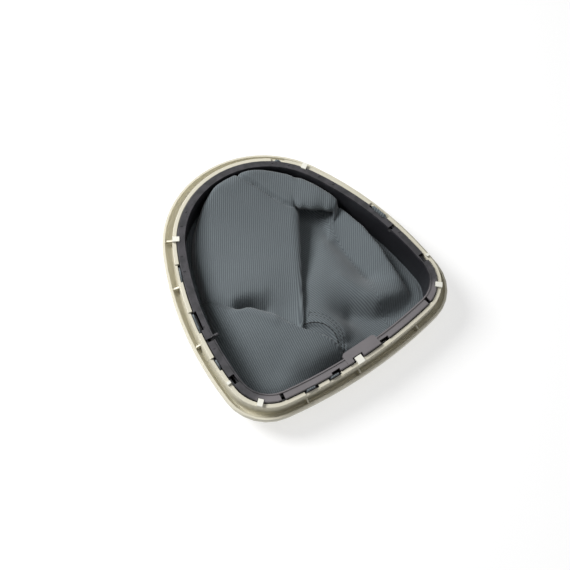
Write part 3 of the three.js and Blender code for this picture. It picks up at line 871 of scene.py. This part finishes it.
    # At angles about the gather: its width from the wall, height of its edge and of its top
    flap_rows: tuple[tuple[float, float, float, float], ...] = (
        (38, 6.2, 20.5, 21.5), (41, 8.2, 21.5, 23.0), (45, 11.8, 22.5, 24.8),
        (52, 18.8, 23.4, 26.3), (58, 24.4, 24.0, 27.0), (63, 25.4, 24.2, 27.0),
        (68, 18.5, 25.2, 27.0), (73, 11.5, 27.0, 27.5), (78, 3.0, 28.0, 28.5),
        (90, 0.0, 29.0, 29.0),
    )
    # Angles over which it comes to follow the left fold, and over which its relief fades
    flap_joined: tuple[float, float] = (46.0, 55.0)
    flap_fade: tuple[float, float] = (62.0, 84.0)
    # How far the flap stands proud, and where that ends before and after its edge
    flap_relief: float = 1.8
    flap_edge: tuple[float, float] = (2.2, 0.8)
    # The valley between the flap and the left fold, from the apex to the crease
    flap_valley: Groove = Groove(
        ((8, 81), (11, 71.5), (18, 59), (22.5, 48), (27, 38.5), (33, 31)), -3.6, 1.1
    )
    valley_begin: tuple[float, float] = (57.5, 61.0)
    valley_end: tuple[float, float] = (84.0, 90.0)
    valley_heights: tuple[float, float] = (12.0, 20.0)
    # Where the low panel's ribs turn, in the valley between its two swells
    rib_turn: tuple[float, float] = (46.0, -10.0)
    rib_bend: float = 0.3
    # The cloth's way up beside the frame: heights of its edge and of the tabs above it,
    # and the tabs' headings and widths
    edge_height: float = 24.3
    tab_rise: float = 4.6
    tab_fade: tuple[float, float] = (0.8, 0.2)
    tabs: tuple[tuple[float, float], ...] = (
        (85, 13), (-85, 13), (-115.7, 11), (-63.7, 6), (-27.7, 7), (-16.5, 7), (149.5, 6),
    )
    # Stitches of the two seams and the hem: first and last heading, pitch, thread
    seam_spans: tuple[tuple[float, float], ...] = ((-62.0, 74.0), (-62.0, 76.0), (-52.0, 88.0))
    stitch_pitch: float = 2.7
    stitch_sink: tuple[float, ...] = (-0.2, 0.1, 0.2, 0.2, 0.1, -0.2)
    thread_taper: tuple[float, ...] = (0.4, 0.9, 1.0, 1.0, 0.9, 0.4)
    thread_radius: float = 0.36
    thread_sides: int = 6
    foot: float = field(init=False)

    def __post_init__(self) -> None:
        """Finds the height of the cloth's middle where it passes under the frame's wall."""
        self.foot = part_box("retaining_frame")[0].z / MM - 0.3 - self.cloth_thickness / 2

    @staticmethod
    def profile(table: Sequence[Sequence[float]], angle: float, column: int) -> float:
        """Reads a table of angles.

        Args:
            table: rows that start with an angle.
            angle: the angle to read it at.
            column: the column to read.

        Returns:
            A smooth value between the two nearest rows.
        """
        rows = np.array(table, float)
        index = int(np.clip(np.searchsorted(rows[:, 0], angle) - 1, 0, len(rows) - 2))
        low, high = rows[index], rows[index + 1]
        share = float(smooth_step(low[0], high[0], angle))
        return float(low[column] * (1 - share) + high[column] * share)

    def angles(self) -> np.ndarray:
        """Spaces the columns, closer together through the pleats and the flap's valley.

        Returns:
            Their directions.
        """
        fine = np.linspace(*self.whole_turn, self.turn_steps)
        density = np.ones_like(fine)
        pleats = (self.crease.angle, self.ridge.angle, self.near_end.angle, self.flap_range[1])
        for pleat in pleats:
            for turn in (-360.0, 0.0):
                near = np.exp(-(((fine - pleat - turn) / PLEAT_SPREAD) ** 2))
                density += self.pleat_density * near
        middle, spread, strength = self.valley_density
        density += strength * np.exp(-(((fine - middle) / spread) ** 2))
        total = np.cumsum(density)
        wanted = np.linspace(total[0], total[-1], self.columns + 1)[:-1]
        return np.interp(wanted, total, fine)

    def end(self, angle: float) -> np.ndarray:
        """Finds the inner end of a column, along the ridge or tucked beneath it.

        Args:
            angle: the column's direction.

        Returns:
            The place in plan.
        """
        on_ridge = self.ridge.angle < angle < self.near_end.angle
        if on_ridge:
            along = np.interp(angle, [self.ridge.angle, self.near_end.angle], [1.0, -1.0])
        else:
            turned = angle - 360.0 if angle >= self.near_end.angle else angle
            ends = [self.near_end.angle - 360.0, self.ridge.angle]
            along = np.interp(turned, ends, [-1.0, 1.0])
        turn = math.radians(self.ridge.angle)
        direction = np.array([math.cos(turn), math.sin(turn)])
        across = np.array([-direction[1], direction[0]])
        tuck = 0.0 if on_ridge else self.gather_tuck
        return np.array(self.gather) + direction * along * self.gather_reach + across * tuck

    def layer_mix(self, angle: float, share: float | np.ndarray = 1.0) -> list[np.ndarray]:
        """Finds how much of each layer shows.

        Args:
            angle: the column's direction.
            share: how far along the column, from 0 at the wall to 1.

        Returns:
            The shares of the left, near and low layers.
        """
        span = PLEAT_SPREAD
        crease, ridge, near_end = self.crease.angle, self.ridge.angle, self.near_end.angle
        soft = span + self.wall_blend * (1 - smooth_step(*self.wall_blend_range, share))
        past_crease = smooth_step(crease - span, crease + span, angle)
        past_ridge = smooth_step(0.0, 1.0, (angle - ridge) / (2 * soft) + 0.5)
        past_near = smooth_step(near_end - span, near_end + span, angle)
        past_wrapped = smooth_step(near_end - 360 - span, near_end - 360 + span, angle)
        near = np.maximum(past_ridge * (1 - past_near), 1 - past_wrapped)
        left = past_crease * (1 - past_ridge)
        return [left, near, 1 - left - near]

    def risen(self, angle: float, inward: np.ndarray, layer: np.ndarray) -> np.ndarray:
        """Lets a column rise from under the frame's wall to its layer.

        Args:
            angle: the column's direction.
            inward: its places' distances from the wall.
            layer: the layer's heights there.

        Returns:
            The column's heights.
        """
        gap, width, floor = (self.profile(self.rises, angle, i) for i in (1, 2, 3))
        rise = np.clip((inward - gap) / width, 0, 1)
        skirt = np.clip(inward / self.skirt_reach, 0, 1)
        base = self.foot + max(0.0, floor - self.foot) * np.sqrt(1 - (1 - skirt) ** 2)
        return base + (layer - base) * np.sqrt(1 - (1 - rise) ** 2)

    def column(self, angle: float, heights: Sequence[Height]) -> np.ndarray:
        """Builds one column of the sheet inside the well.

        Args:
            angle: its direction about the gather.
            heights: the height functions of the left, near and low layers.

        Returns:
            Its points from the wall to the gather, in mm, each with the low panel's share.
        """
        turn = math.radians(angle)
        wall, normal = self.outline.meeting(np.array(self.gather), turn)
        wall = wall - normal * self.wall_gap
        path = self.end(angle) - wall
        reach = float(np.linalg.norm(path))
        unit = path / reach
        slant = max(self.least_slant, float(-unit @ normal))
        share = np.linspace(0, 1, self.samples) ** self.crowding
        travelled = share * reach
        pleats = (self.crease, self.ridge, self.near_end)
        aside = sum(pleat.aside(angle, share, reach) for pleat in pleats)
        across = np.array([-math.sin(turn), math.cos(turn)])
        plan = wall + unit * travelled[:, None] + across * aside[:, None]
        shares = self.layer_mix(angle, share)
        low_part = float(self.layer_mix(angle)[2])
        begun = float(smooth_step(*self.flap_range, angle))
        flapped = begun * low_part if angle < self.flap_rows[-1][0] else 0.0
        if begun == 1.0 and flapped > 0:
            shares = [1.0, 0.0, 0.0]
        layer = sum(part * height(plan) for part, height in zip(shares, heights))
        layer = self.lowest + np.logaddexp(0.0, layer - self.lowest)
        layer = np.minimum(layer, self.highest)
        layer += shares[2] * self.hem_relief(plan)
        inward = travelled * slant
        hem = self.profile(self.flap_rows, angle, 1)
        over_left = shares[0] * float(1 - smooth_step(*self.flap_fade, angle))
        before, after = self.flap_edge
        layer += over_left * self.flap_relief * (1 - smooth_step(hem - before, hem + after, inward))
        line = self.resampled(np.column_stack([travelled, self.risen(angle, inward, layer)]))
        low_share = np.full(len(line), low_part)
        if flapped > 0:
            # Both lines are blended as what they stand proud of the low layer
            over = self.resampled(self.flap_line(angle, wall, unit, slant, reach, heights))
            low = heights[2]
            for part in (line, over):
                part[:, 1] -= low(wall + unit * part[:, :1])
            line = line * (1 - flapped) + over * flapped
            line[:, 1] += low(wall + unit * line[:, :1])
            back = np.flatnonzero(np.diff(line[:, 0]) < 0)
            edge = int(back[0]) if len(back) else int(np.searchsorted(line[:, 0], hem / slant))
            low_share[: edge + 1] *= 1 - begun
        shift = np.interp(line[:, 0], travelled, aside)
        plan = wall + unit * line[:, :1] + across * shift[:, None]
        return np.column_stack([plan, line[:, 1], low_share])

    def resampled(self, line: np.ndarray) -> np.ndarray:
        """Spaces a line's points evenly along itself.

        Args:
            line: its distances from the wall and its heights.

        Returns:
            The same line with as many points as the well has rows.
        """
        length = np.concatenate([[0], np.cumsum(np.hypot(*np.diff(line, axis=0).T))])
        wanted = np.linspace(0, length[-1], self.well_rows)
        return np.column_stack([np.interp(wanted, length, part) for part in line.T])

    def flap_line(
        self,
        angle: float,
        wall: np.ndarray,
        unit: np.ndarray,
        slant: float,
        reach: float,
        heights: Sequence[Height],
    ) -> np.ndarray:
        """Draws a column that passes over the rolled flap, back beneath it and on.

        Args:
            angle: the column's direction.
            wall: its start at the wall.
            unit: its direction in plan.
            slant: cosine between that direction and the wall's normal.
            reach: its whole length in plan.
            heights: the height functions of the left, near and low layers.

        Returns:
            Its distances from the wall and its heights, in mm.
        """
        width, edge, top = (self.profile(self.flap_rows, angle, i) for i in (1, 2, 3))
        roll, turn = self.flap_roll, self.flap_turn
        out = width / slant
        tucked = out - self.flap_tuck
        left, _, low = heights
        floor = float(low((wall + unit * (tucked + 1.5 * turn))[None])[0])
        joined = float(smooth_step(*self.flap_joined, angle))
        over = np.linspace(self.flap_start, out - roll, 6)
        level = left(wall + unit * over[:, None]) + self.flap_relief
        level = level * joined + np.linspace(top, edge, len(over)) * (1 - joined)
        edge = float(level[-1])
        under = edge - 2 * roll
        arc = np.linspace(0, math.pi, 9)[1:-1]
        inward, below = self.flap_shoulder
        keys = [(0.0, self.foot), (0.3, (self.foot + level[0]) / 2), (inward, level[0] - below)]
        keys += list(zip(over, level))
        keys += [(out - roll + roll * math.sin(a), edge - roll + roll * math.cos(a)) for a in arc]
        keys += [(tucked + turn, under), (tucked, (under + floor) / 2), (tucked + turn, floor)]
        rest = np.linspace(tucked + 2 * turn, reach, 60)
        rest_height = low(wall + unit * rest[:, None])
        return np.concatenate([np.array(keys), np.column_stack([rest, rest_height])])

    def hem_relief(self, plan: np.ndarray) -> np.ndarray:
        """Finds the folded hem's step and the dents along the collar's seams.

        Args:
            plan: places in plan.

        Returns:
            The height that they add at each place.
        """
        from_hem = np.hypot(*(plan - np.array(self.hem_centre)).T)
        from_collar = np.hypot(*(plan - np.array(self.collar)).T)
        inside = 1 - smooth_step(self.hem_radius - self.hem_margin, self.hem_radius, from_hem)
        height, width = self.seam_dent
        dents = sum(
            height * np.exp(-(((from_collar - radius) / width) ** 2)) for radius in self.seam_radii
        )
        return self.hem_step * inside + dents

    def clamp_rows(self, edge: float) -> list[tuple[float, float]]:
        """Lists the cloth's way round the frame, from its outer edge to its foot.

        Args:
            edge: the height of its outer edge.

        Returns:
            Offsets outwards from the wall, and heights.
        """
        offsets = (5.7, 5.7, 4.8, 3.4, 3.35, 3.0, 0.6)
        rises = (edge, 22.0, 20.6, 18.6, 4.3, self.foot - 0.1, self.foot)
        return [(offset + self.cloth_thickness / 2, z) for offset, z in zip(offsets, rises)]

    def cloth_edge(self, heading: float, per_degree: float) -> float:
        """Finds the height of the cloth's outer edge, which is higher at the tabs.

        Args:
            heading: the direction from the middle, in degrees from the base edge.
            per_degree: the outline's length for each degree, in mm.

        Returns:
            The height.
        """
        before, after = self.tab_fade
        rise = max(
            1 - smooth_step(width / 2 - before, width / 2 + after, abs(heading - at) * per_degree)
            for at, width in self.tabs
        )
        return self.edge_height + self.tab_rise * float(rise)

    def sheet(self) -> tuple[np.ndarray, np.ndarray]:
        """Builds the sheet's middle surface.

        Returns:
            Points as columns by rows in mm, and the cloth's own coordinates in mm.
        """
        heights = [layer.solve() for layer in (self.left, self.near, self.low)]
        angles = self.angles()
        well = np.array([self.column(angle, heights) for angle in angles])
        own, beside, ahead = self.smoothing
        for _ in range(self.smoothing_rounds):
            around = (np.roll(well, 1, 0) + np.roll(well, -1, 0)) / 2
            along = (well[:, 1:-2] + well[:, 3:]) * ahead
            well[:, 2:-1] = well[:, 2:-1] * own + around[:, 2:-1] * beside + along
        covered = smooth_step(*self.valley_begin, angles) * (
            1 - smooth_step(*self.valley_end, angles)
        )
        raised = smooth_step(*self.valley_heights, well[..., 2])
        well[..., 2] += self.flap_valley.at(well[..., :2]) * covered[:, None] * raised
        outer = []
        for angle in angles:
            point, normal = self.outline.meeting(np.array(self.gather), math.radians(angle))
            heading = math.degrees(self.outline.heading(point))
            per_degree = math.radians(float(np.hypot(*point)))
            rows = self.clamp_rows(self.cloth_edge(heading, per_degree))
            low_share = float(self.layer_mix(angle)[2])
            outer.append([[*(point + normal * offset), z, low_share] for offset, z in rows])
        points = np.concatenate([np.array(outer), well], axis=1)
        return points[..., :3], self.cloth_coordinates(points, angles)

    def cloth_coordinates(self, points: np.ndarray, angles: np.ndarray) -> np.ndarray:
        """Finds places across and along the knit's ribs.

        Args:
            points: the sheet's points, each with the low panel's share.
            angles: the columns' directions.

        Returns:
            The places of each point, in mm.
        """
        result = np.zeros((*points.shape[:2], 3))
        for i, angle in enumerate(angles):
            near = float(self.layer_mix(angle)[1])
            low = points[i, :, 3:]
            left_places, near_places, low_places = (
                self.rib_places(points[i, :, :3], panel) for panel in Panel
            )
            # Past its valley the low panel's ribs run as the left's, mirrored so that they meet
            turned = left_places * (-1.0, 1.0, 1.0)
            share = 1 / (1 + np.exp((low_places[:, :1] - turned[:, :1]) / self.rib_bend))
            low_places += (turned - low_places) * share
            result[i] = left_places * (1 - near - low) + near_places * near + low_places * low
        return result

    def rib_places(self, points: np.ndarray, panel: Panel) -> np.ndarray:
        """Finds places across and along one panel's ribs.

        Args:
            points: points of the sheet.
            panel: the panel.

        Returns:
            The places of each point, in mm.
        """
        turn = math.radians(panel.value)
        x, y, z = (points - np.array([*self.rib_turn, 0.0])).T
        across = -x * math.sin(turn) + y * math.cos(turn)
        along = x * math.cos(turn) + y * math.sin(turn) + z
        return np.column_stack([across, along, np.zeros_like(across)])

    @staticmethod
    def smooth_normals(points: np.ndarray) -> np.ndarray:
        """Finds the sheet's normals and evens them out.

        Args:
            points: the middle surface, columns by rows.

        Returns:
            A unit normal for each point.
        """
        around = np.roll(points, -1, 0) - np.roll(points, 1, 0)
        normal = np.cross(around, np.gradient(points, axis=1))
        normal /= np.linalg.norm(normal, axis=2, keepdims=True) + TINY
        for _ in range(2):
            normal = (np.roll(normal, 1, 0) + 2 * normal + np.roll(normal, -1, 0)) / 4
            normal[:, 1:-1] = (normal[:, :-2] + 2 * normal[:, 1:-1] + normal[:, 2:]) / 4
            normal /= np.linalg.norm(normal, axis=2, keepdims=True) + TINY
        return normal

    @staticmethod
    def sheet_faces(columns: int, rows: int) -> tuple[list[list[int]], np.ndarray]:
        """Joins the sheet's two sides, its outer edge and its closed gather.

        Args:
            columns: how many columns a side has.
            rows: how many rows.

        Returns:
            The faces, and the number of each one's material.
        """
        i, j = np.meshgrid(np.arange(columns), np.arange(rows - 1), indexing="ij")
        a = (i * rows + j).ravel()
        b = (((i + 1) % columns) * rows + j).ravel()
        count = columns * rows
        first = np.arange(columns) * rows
        second = np.roll(first, -1)
        last, last_next = first + rows - 1, second + rows - 1
        middle = np.full(columns, 2 * count)
        parts = (
            (Side.KNIT, np.stack([a, b, b + 1, a + 1], axis=1)),
            (Side.LEATHER, np.stack([a, a + 1, b + 1, b], axis=1) + count),
            (Side.KNIT, np.stack([first, first + count, second + count, second], axis=1)),
            (Side.KNIT, np.stack([last, last_next, middle], axis=1)),
            (Side.LEATHER, np.stack([last_next + count, last + count, middle + 1], axis=1)),
        )
        faces = [face for _, part in parts for face in part.tolist()]
        sides = [np.full(len(part), side.value, np.int32) for side, part in parts]
        return faces, np.concatenate(sides)

    def mesh(self) -> tuple[bpy.types.Object, float]:
        """Builds the gaiter's two-sided sheet.

        Returns:
            The piece, and the area of its middle surface in square metres.
        """
        points, cloth = self.sheet()
        half = self.smooth_normals(points) * self.cloth_thickness / 2
        layers = (points + half, points - half)
        gathered = [layer[:, -1].mean(axis=0)[None] for layer in layers]
        vertices = np.concatenate([layer.reshape(-1, 3) for layer in layers] + gathered)
        faces, sides = self.sheet_faces(*points.shape[:2])
        finishes = (KnitBacking(), GrainedLeather())
        piece = make_piece(
            "gaiter_sheet", vertices, faces, *(finish.material() for finish in finishes)
        )
        mesh = piece.data
        mesh.validate()
        places = [cloth.reshape(-1, 3)] * 2 + [cloth[:, -1].mean(axis=0)[None]] * 2
        attribute = mesh.attributes.new("cloth", "FLOAT_VECTOR", "POINT")
        attribute.data.foreach_set("vector", np.concatenate(places).astype(np.float32).ravel())
        mesh.polygons.foreach_set("material_index", sides)
        mesh.polygons.foreach_set("use_smooth", np.ones(len(faces), bool))
        mesh.update()
        edge = (np.roll(points, -1, 0) - points)[:, :-1]
        patches = np.linalg.norm(np.cross(edge, np.diff(points, axis=1)), axis=2)
        return piece, float(patches.sum()) * MM * MM

    def stitches(self) -> bpy.types.Object:
        """Builds the stitches of the collar's two seams and of its hem, lying on the cloth.

        Returns:
            The piece.
        """
        height = self.low.solve()
        centres = (self.collar, self.collar, self.hem_centre)
        radii = (*self.seam_radii, self.hem_radius + self.hem_margin)
        vertices: list[np.ndarray] = []
        faces: list[list[int]] = []
        for (x, y), radius, span in zip(centres, radii, self.seam_spans):
            pitch = math.degrees(self.stitch_pitch / radius)
            for at in np.arange(*span, pitch):
                turn = np.radians(at + np.linspace(0.02, 0.98, len(self.stitch_sink)) * pitch)
                plan = np.column_stack([x + radius * np.cos(turn), y + radius * np.sin(turn)])
                z = height(plan) + self.hem_relief(plan) + self.cloth_thickness / 2
                line = np.column_stack([plan, z + np.array(self.stitch_sink)])
                faces += tube_faces(len(vertices), len(line), self.thread_sides)
                vertices.extend(self.thread(line))
        piece = make_piece(
            "collar_stitches", np.array(vertices), faces, SewingThread().material()
        )
        piece.data.polygons.foreach_set("use_smooth", np.ones(len(faces), bool))
        return piece

    def thread(self, line: np.ndarray) -> np.ndarray:
        """Shapes one stitch's tapered thread.

        Args:
            line: its middle line, in mm.

        Returns:
            The vertices of its rings in order.
        """
        along = np.gradient(line, axis=0)
        along /= np.linalg.norm(along, axis=1, keepdims=True)
        across = np.cross(along, [0.0, 0.0, 1.0])
        across /= np.linalg.norm(across, axis=1, keepdims=True)
        upright = np.cross(across, along)
        turn = (math.tau * np.arange(self.thread_sides) / self.thread_sides)[:, None]
        ring = across[:, None] * np.cos(turn) + upright[:, None] * np.sin(turn)
        reach = self.thread_radius * np.array(self.thread_taper)[:, None, None]
        return (line[:, None] + ring * reach).reshape(-1, 3)

    def build(self) -> list[bpy.types.Object]:
        """Builds the gaiter and its stitches and puts them in the frame.

        Returns:
            The two pieces.
        """
        sheet, area = self.mesh()
        stitches = self.stitches()
        for piece in (sheet, stitches):
            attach(piece, "root")
        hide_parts("gaiter")
        LOG.info("gaiter: %.0f square cm of cloth", area * 1e4)
        return [sheet, stitches]


@dataclass
class SeatLip:
    """Ivory lip on the bezel's locating wall that closes on the frame's edge, in mm."""

    outline: ArcOutline
    inner: float = 5.75
    outer: float = 8.55
    low: float = 25.0
    high: float = 27.8
    edge: float = 0.3
    margin: float = 1.0

    def profile(self) -> list[tuple[float, float]]:
        """Returns its section as offsets outwards and heights."""
        return [
            (self.inner, self.low), (self.inner, self.high - self.edge),
            (self.inner + self.edge, self.high), (self.outer - self.edge, self.high),
            (self.outer, self.high - self.edge), (self.outer, self.low),
        ]

    def runs(self, breaks: Sequence[tuple[float, float]]) -> list[np.ndarray]:
        """Splits the outline at breaks.

        Args:
            breaks: their headings in degrees and their widths.

        Returns:
            The numbers of the outline's points on each run between two breaks.
        """
        x, y = self.outline.points.T
        heading = np.degrees(np.arctan2(x, -y))
        per_degree = np.radians(np.hypot(x, y))
        open_here = np.zeros(len(x), bool)
        for at, width in breaks:
            apart = np.abs((heading - at + 180.0) % 360.0 - 180.0)
            open_here |= apart * per_degree < width / 2 + self.margin
        order = np.roll(np.arange(len(x)), -int(np.flatnonzero(open_here)[0]))
        cuts = np.flatnonzero(np.diff(open_here[order].astype(int))) + 1
        return [run for run in np.split(order, cuts) if not open_here[run[0]]]

    def build(self, breaks: Sequence[tuple[float, float]]) -> bpy.types.Object:
        """Builds the lip, broken where the cloth's tabs stand up.

        Args:
            breaks: the tabs' headings in degrees and their widths.

        Returns:
            The piece.
        """
        vertices: list[list[float]] = []
        faces: list[list[int]] = []
        section = self.profile()
        for run in self.runs(breaks):
            faces += tube_faces(len(vertices), len(run), len(section))
            for point, normal in zip(self.outline.points[run], self.outline.normals[run]):
                vertices += [[*(point + normal * out), z] for out, z in section]
        piece = make_piece("seat_lip", np.array(vertices), faces, IvoryPlastic().material())
        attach(piece, "root")
        LOG.info("seat lip: %d faces", len(faces))
        return piece


@dataclass
class Moulding:
    """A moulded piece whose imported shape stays, with softened edges and its own finish."""

    node: str
    finish: IvoryPlastic | DarkPlastic
    edge_radius: float = 0.00025
    weld_distance: float = 1e-6
    flat_angle: float = 0.6
    sharp_angle: float = 38.0

    def build(self) -> bpy.types.Object:
        """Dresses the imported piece: merges flat facets, rounds its edges, smooths its curves.

        Returns:
            The piece.
        """
        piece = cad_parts[self.node]
        piece.data.materials.clear()
        piece.data.materials.append(self.finish.material())
        piece.data.polygons.foreach_set("use_smooth", np.ones(len(piece.data.polygons), bool))
        weld = piece.modifiers.new("weld", "WELD")
        weld.merge_threshold = self.weld_distance
        flat = piece.modifiers.new("flat", "DECIMATE")
        flat.decimate_type = "DISSOLVE"
        flat.angle_limit = math.radians(self.flat_angle)
        bevel = piece.modifiers.new("edges", "BEVEL")
        bevel.width = self.edge_radius
        bevel.segments = 2
        bevel.limit_method = "ANGLE"
        bevel.angle_limit = math.radians(self.sharp_angle)
        bevel.use_clamp_overlap = True
        bevel.harden_normals = True
        weighted = piece.modifiers.new("shading", "WEIGHTED_NORMAL")
        weighted.keep_sharp = True
        LOG.info("%s dressed", self.node)
        return piece


@dataclass(frozen=True)
class SoftLamp:
    """A soft square lamp that faces the object, in metres and watts."""

    name: str
    place: tuple[float, float, float]
    size: float
    power: float

    def build(self) -> None:
        """Adds the lamp to the scene."""
        data = bpy.data.lights.new(self.name, "AREA")
        data.shape, data.size, data.energy = "SQUARE", self.size, self.power
        lamp = bpy.data.objects.new(self.name, data)
        lamp.location = self.place
        lamp.rotation_mode = "QUATERNION"
        lamp.rotation_quaternion = Vector(self.place).to_track_quat("Z", "Y")
        bpy.context.scene.collection.objects.link(lamp)


@dataclass
class Studio:
    """Pale floor, soft lamps and a camera at the photo's viewing angle, in metres."""

    eye: tuple[float, float, float] = (-0.2023, -0.2065, 0.5625)
    right: tuple[float, float, float] = (0.80686, -0.58572, 0.07683)
    up: tuple[float, float, float] = (0.49836, 0.74474, 0.44384)
    back: tuple[float, float, float] = (-0.31719, -0.31982, 0.89281)
    lens: float = 56.84
    sensor: float = 36.0
    clip: tuple[float, float] = (0.01, 100.0)
    floor_size: float = 30.0
    floor_colour: Colour = (0.4, 0.4, 0.4)
    floor_glow: float = 0.64
    floor_roughness: float = 0.9
    floor_specular: float = 0.1
    ambient: float = 0.17
    lamps: tuple[SoftLamp, ...] = (
        SoftLamp("key", (-0.55, 0.7, 0.8), 0.5, 19.0),
        SoftLamp("overhead", (0.15, -0.15, 1.2), 0.9, 2.0),
    )

    def camera(self) -> None:
        """Makes the camera from its three axes and its place."""
        data = bpy.data.cameras.new("camera")
        data.lens, data.sensor_width = self.lens, self.sensor
        data.clip_start, data.clip_end = self.clip
        camera = bpy.data.objects.new("camera", data)
        bpy.context.scene.collection.objects.link(camera)
        axes = Matrix((self.right, self.up, self.back)).transposed()
        camera.matrix_world = Matrix.Translation(self.eye) @ axes.to_4x4()
        bpy.context.scene.camera = camera

    def floor(self) -> None:
        """Makes the floor, which shows white and keeps the object's shadow."""
        shader = Shader("pale_floor")
        shader.set(
            Base_Color=self.floor_colour,
            Roughness=self.floor_roughness,
            Specular_IOR_Level=self.floor_specular,
            Emission_Color=(1.0, 1.0, 1.0),
            Emission_Strength=self.floor_glow,
        )
        square = np.array([(-1, -1, 0), (1, -1, 0), (1, 1, 0), (-1, 1, 0)])
        half = self.floor_size / 2 / MM
        make_piece("floor", square * half, [(0, 1, 2, 3)], shader.material)

    def world(self) -> None:
        """Lights the scene evenly, and shows white to the camera and in reflections."""
        world = bpy.data.worlds.new("studio")
        world.use_nodes = True
        bpy.context.scene.world = world
        nodes = Nodes(world.node_tree)
        camera = nodes.node("ShaderNodeLightPath", output="Is Camera Ray")
        glossy, through = camera.beside("Is Glossy Ray"), camera.beside("Is Transmission Ray")
        seen = camera.greater(glossy).greater(through)
        background = nodes.tree.nodes["Background"]
        nodes.feed(background.inputs["Color"], (1.0, 1.0, 1.0))
        nodes.feed(background.inputs["Strength"], seen * (1.0 - self.ambient) + self.ambient)

    def build(self) -> None:
        """Makes the whole studio."""
        self.camera()
        self.floor()
        self.world()
        for lamp in self.lamps:
            lamp.build()
        bpy.context.scene.view_settings.view_transform = "Standard"


def main() -> None:
    """Builds the studio and the object."""
    logging.basicConfig(level=logging.INFO)
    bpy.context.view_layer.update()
    Studio().build()
    low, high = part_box("retaining_frame")
    well = ArcOutline(
        length=(high.y - low.y) / MM - 2 * FLANGE,
        width=(high.x - low.x) / MM - 2 * FLANGE,
        base_y=low.y / MM + FLANGE,
        radii=WELL_RADII,
    )
    Moulding("trim_bezel", IvoryPlastic()).build()
    Moulding("retaining_frame", DarkPlastic()).build()
    gaiter = FoldedGaiter(well)
    for piece in gaiter.build():
        LOG.info("%s built", piece.name)
    SeatLip(well).build(gaiter.tabs)


if __name__ == "__main__":
    main()
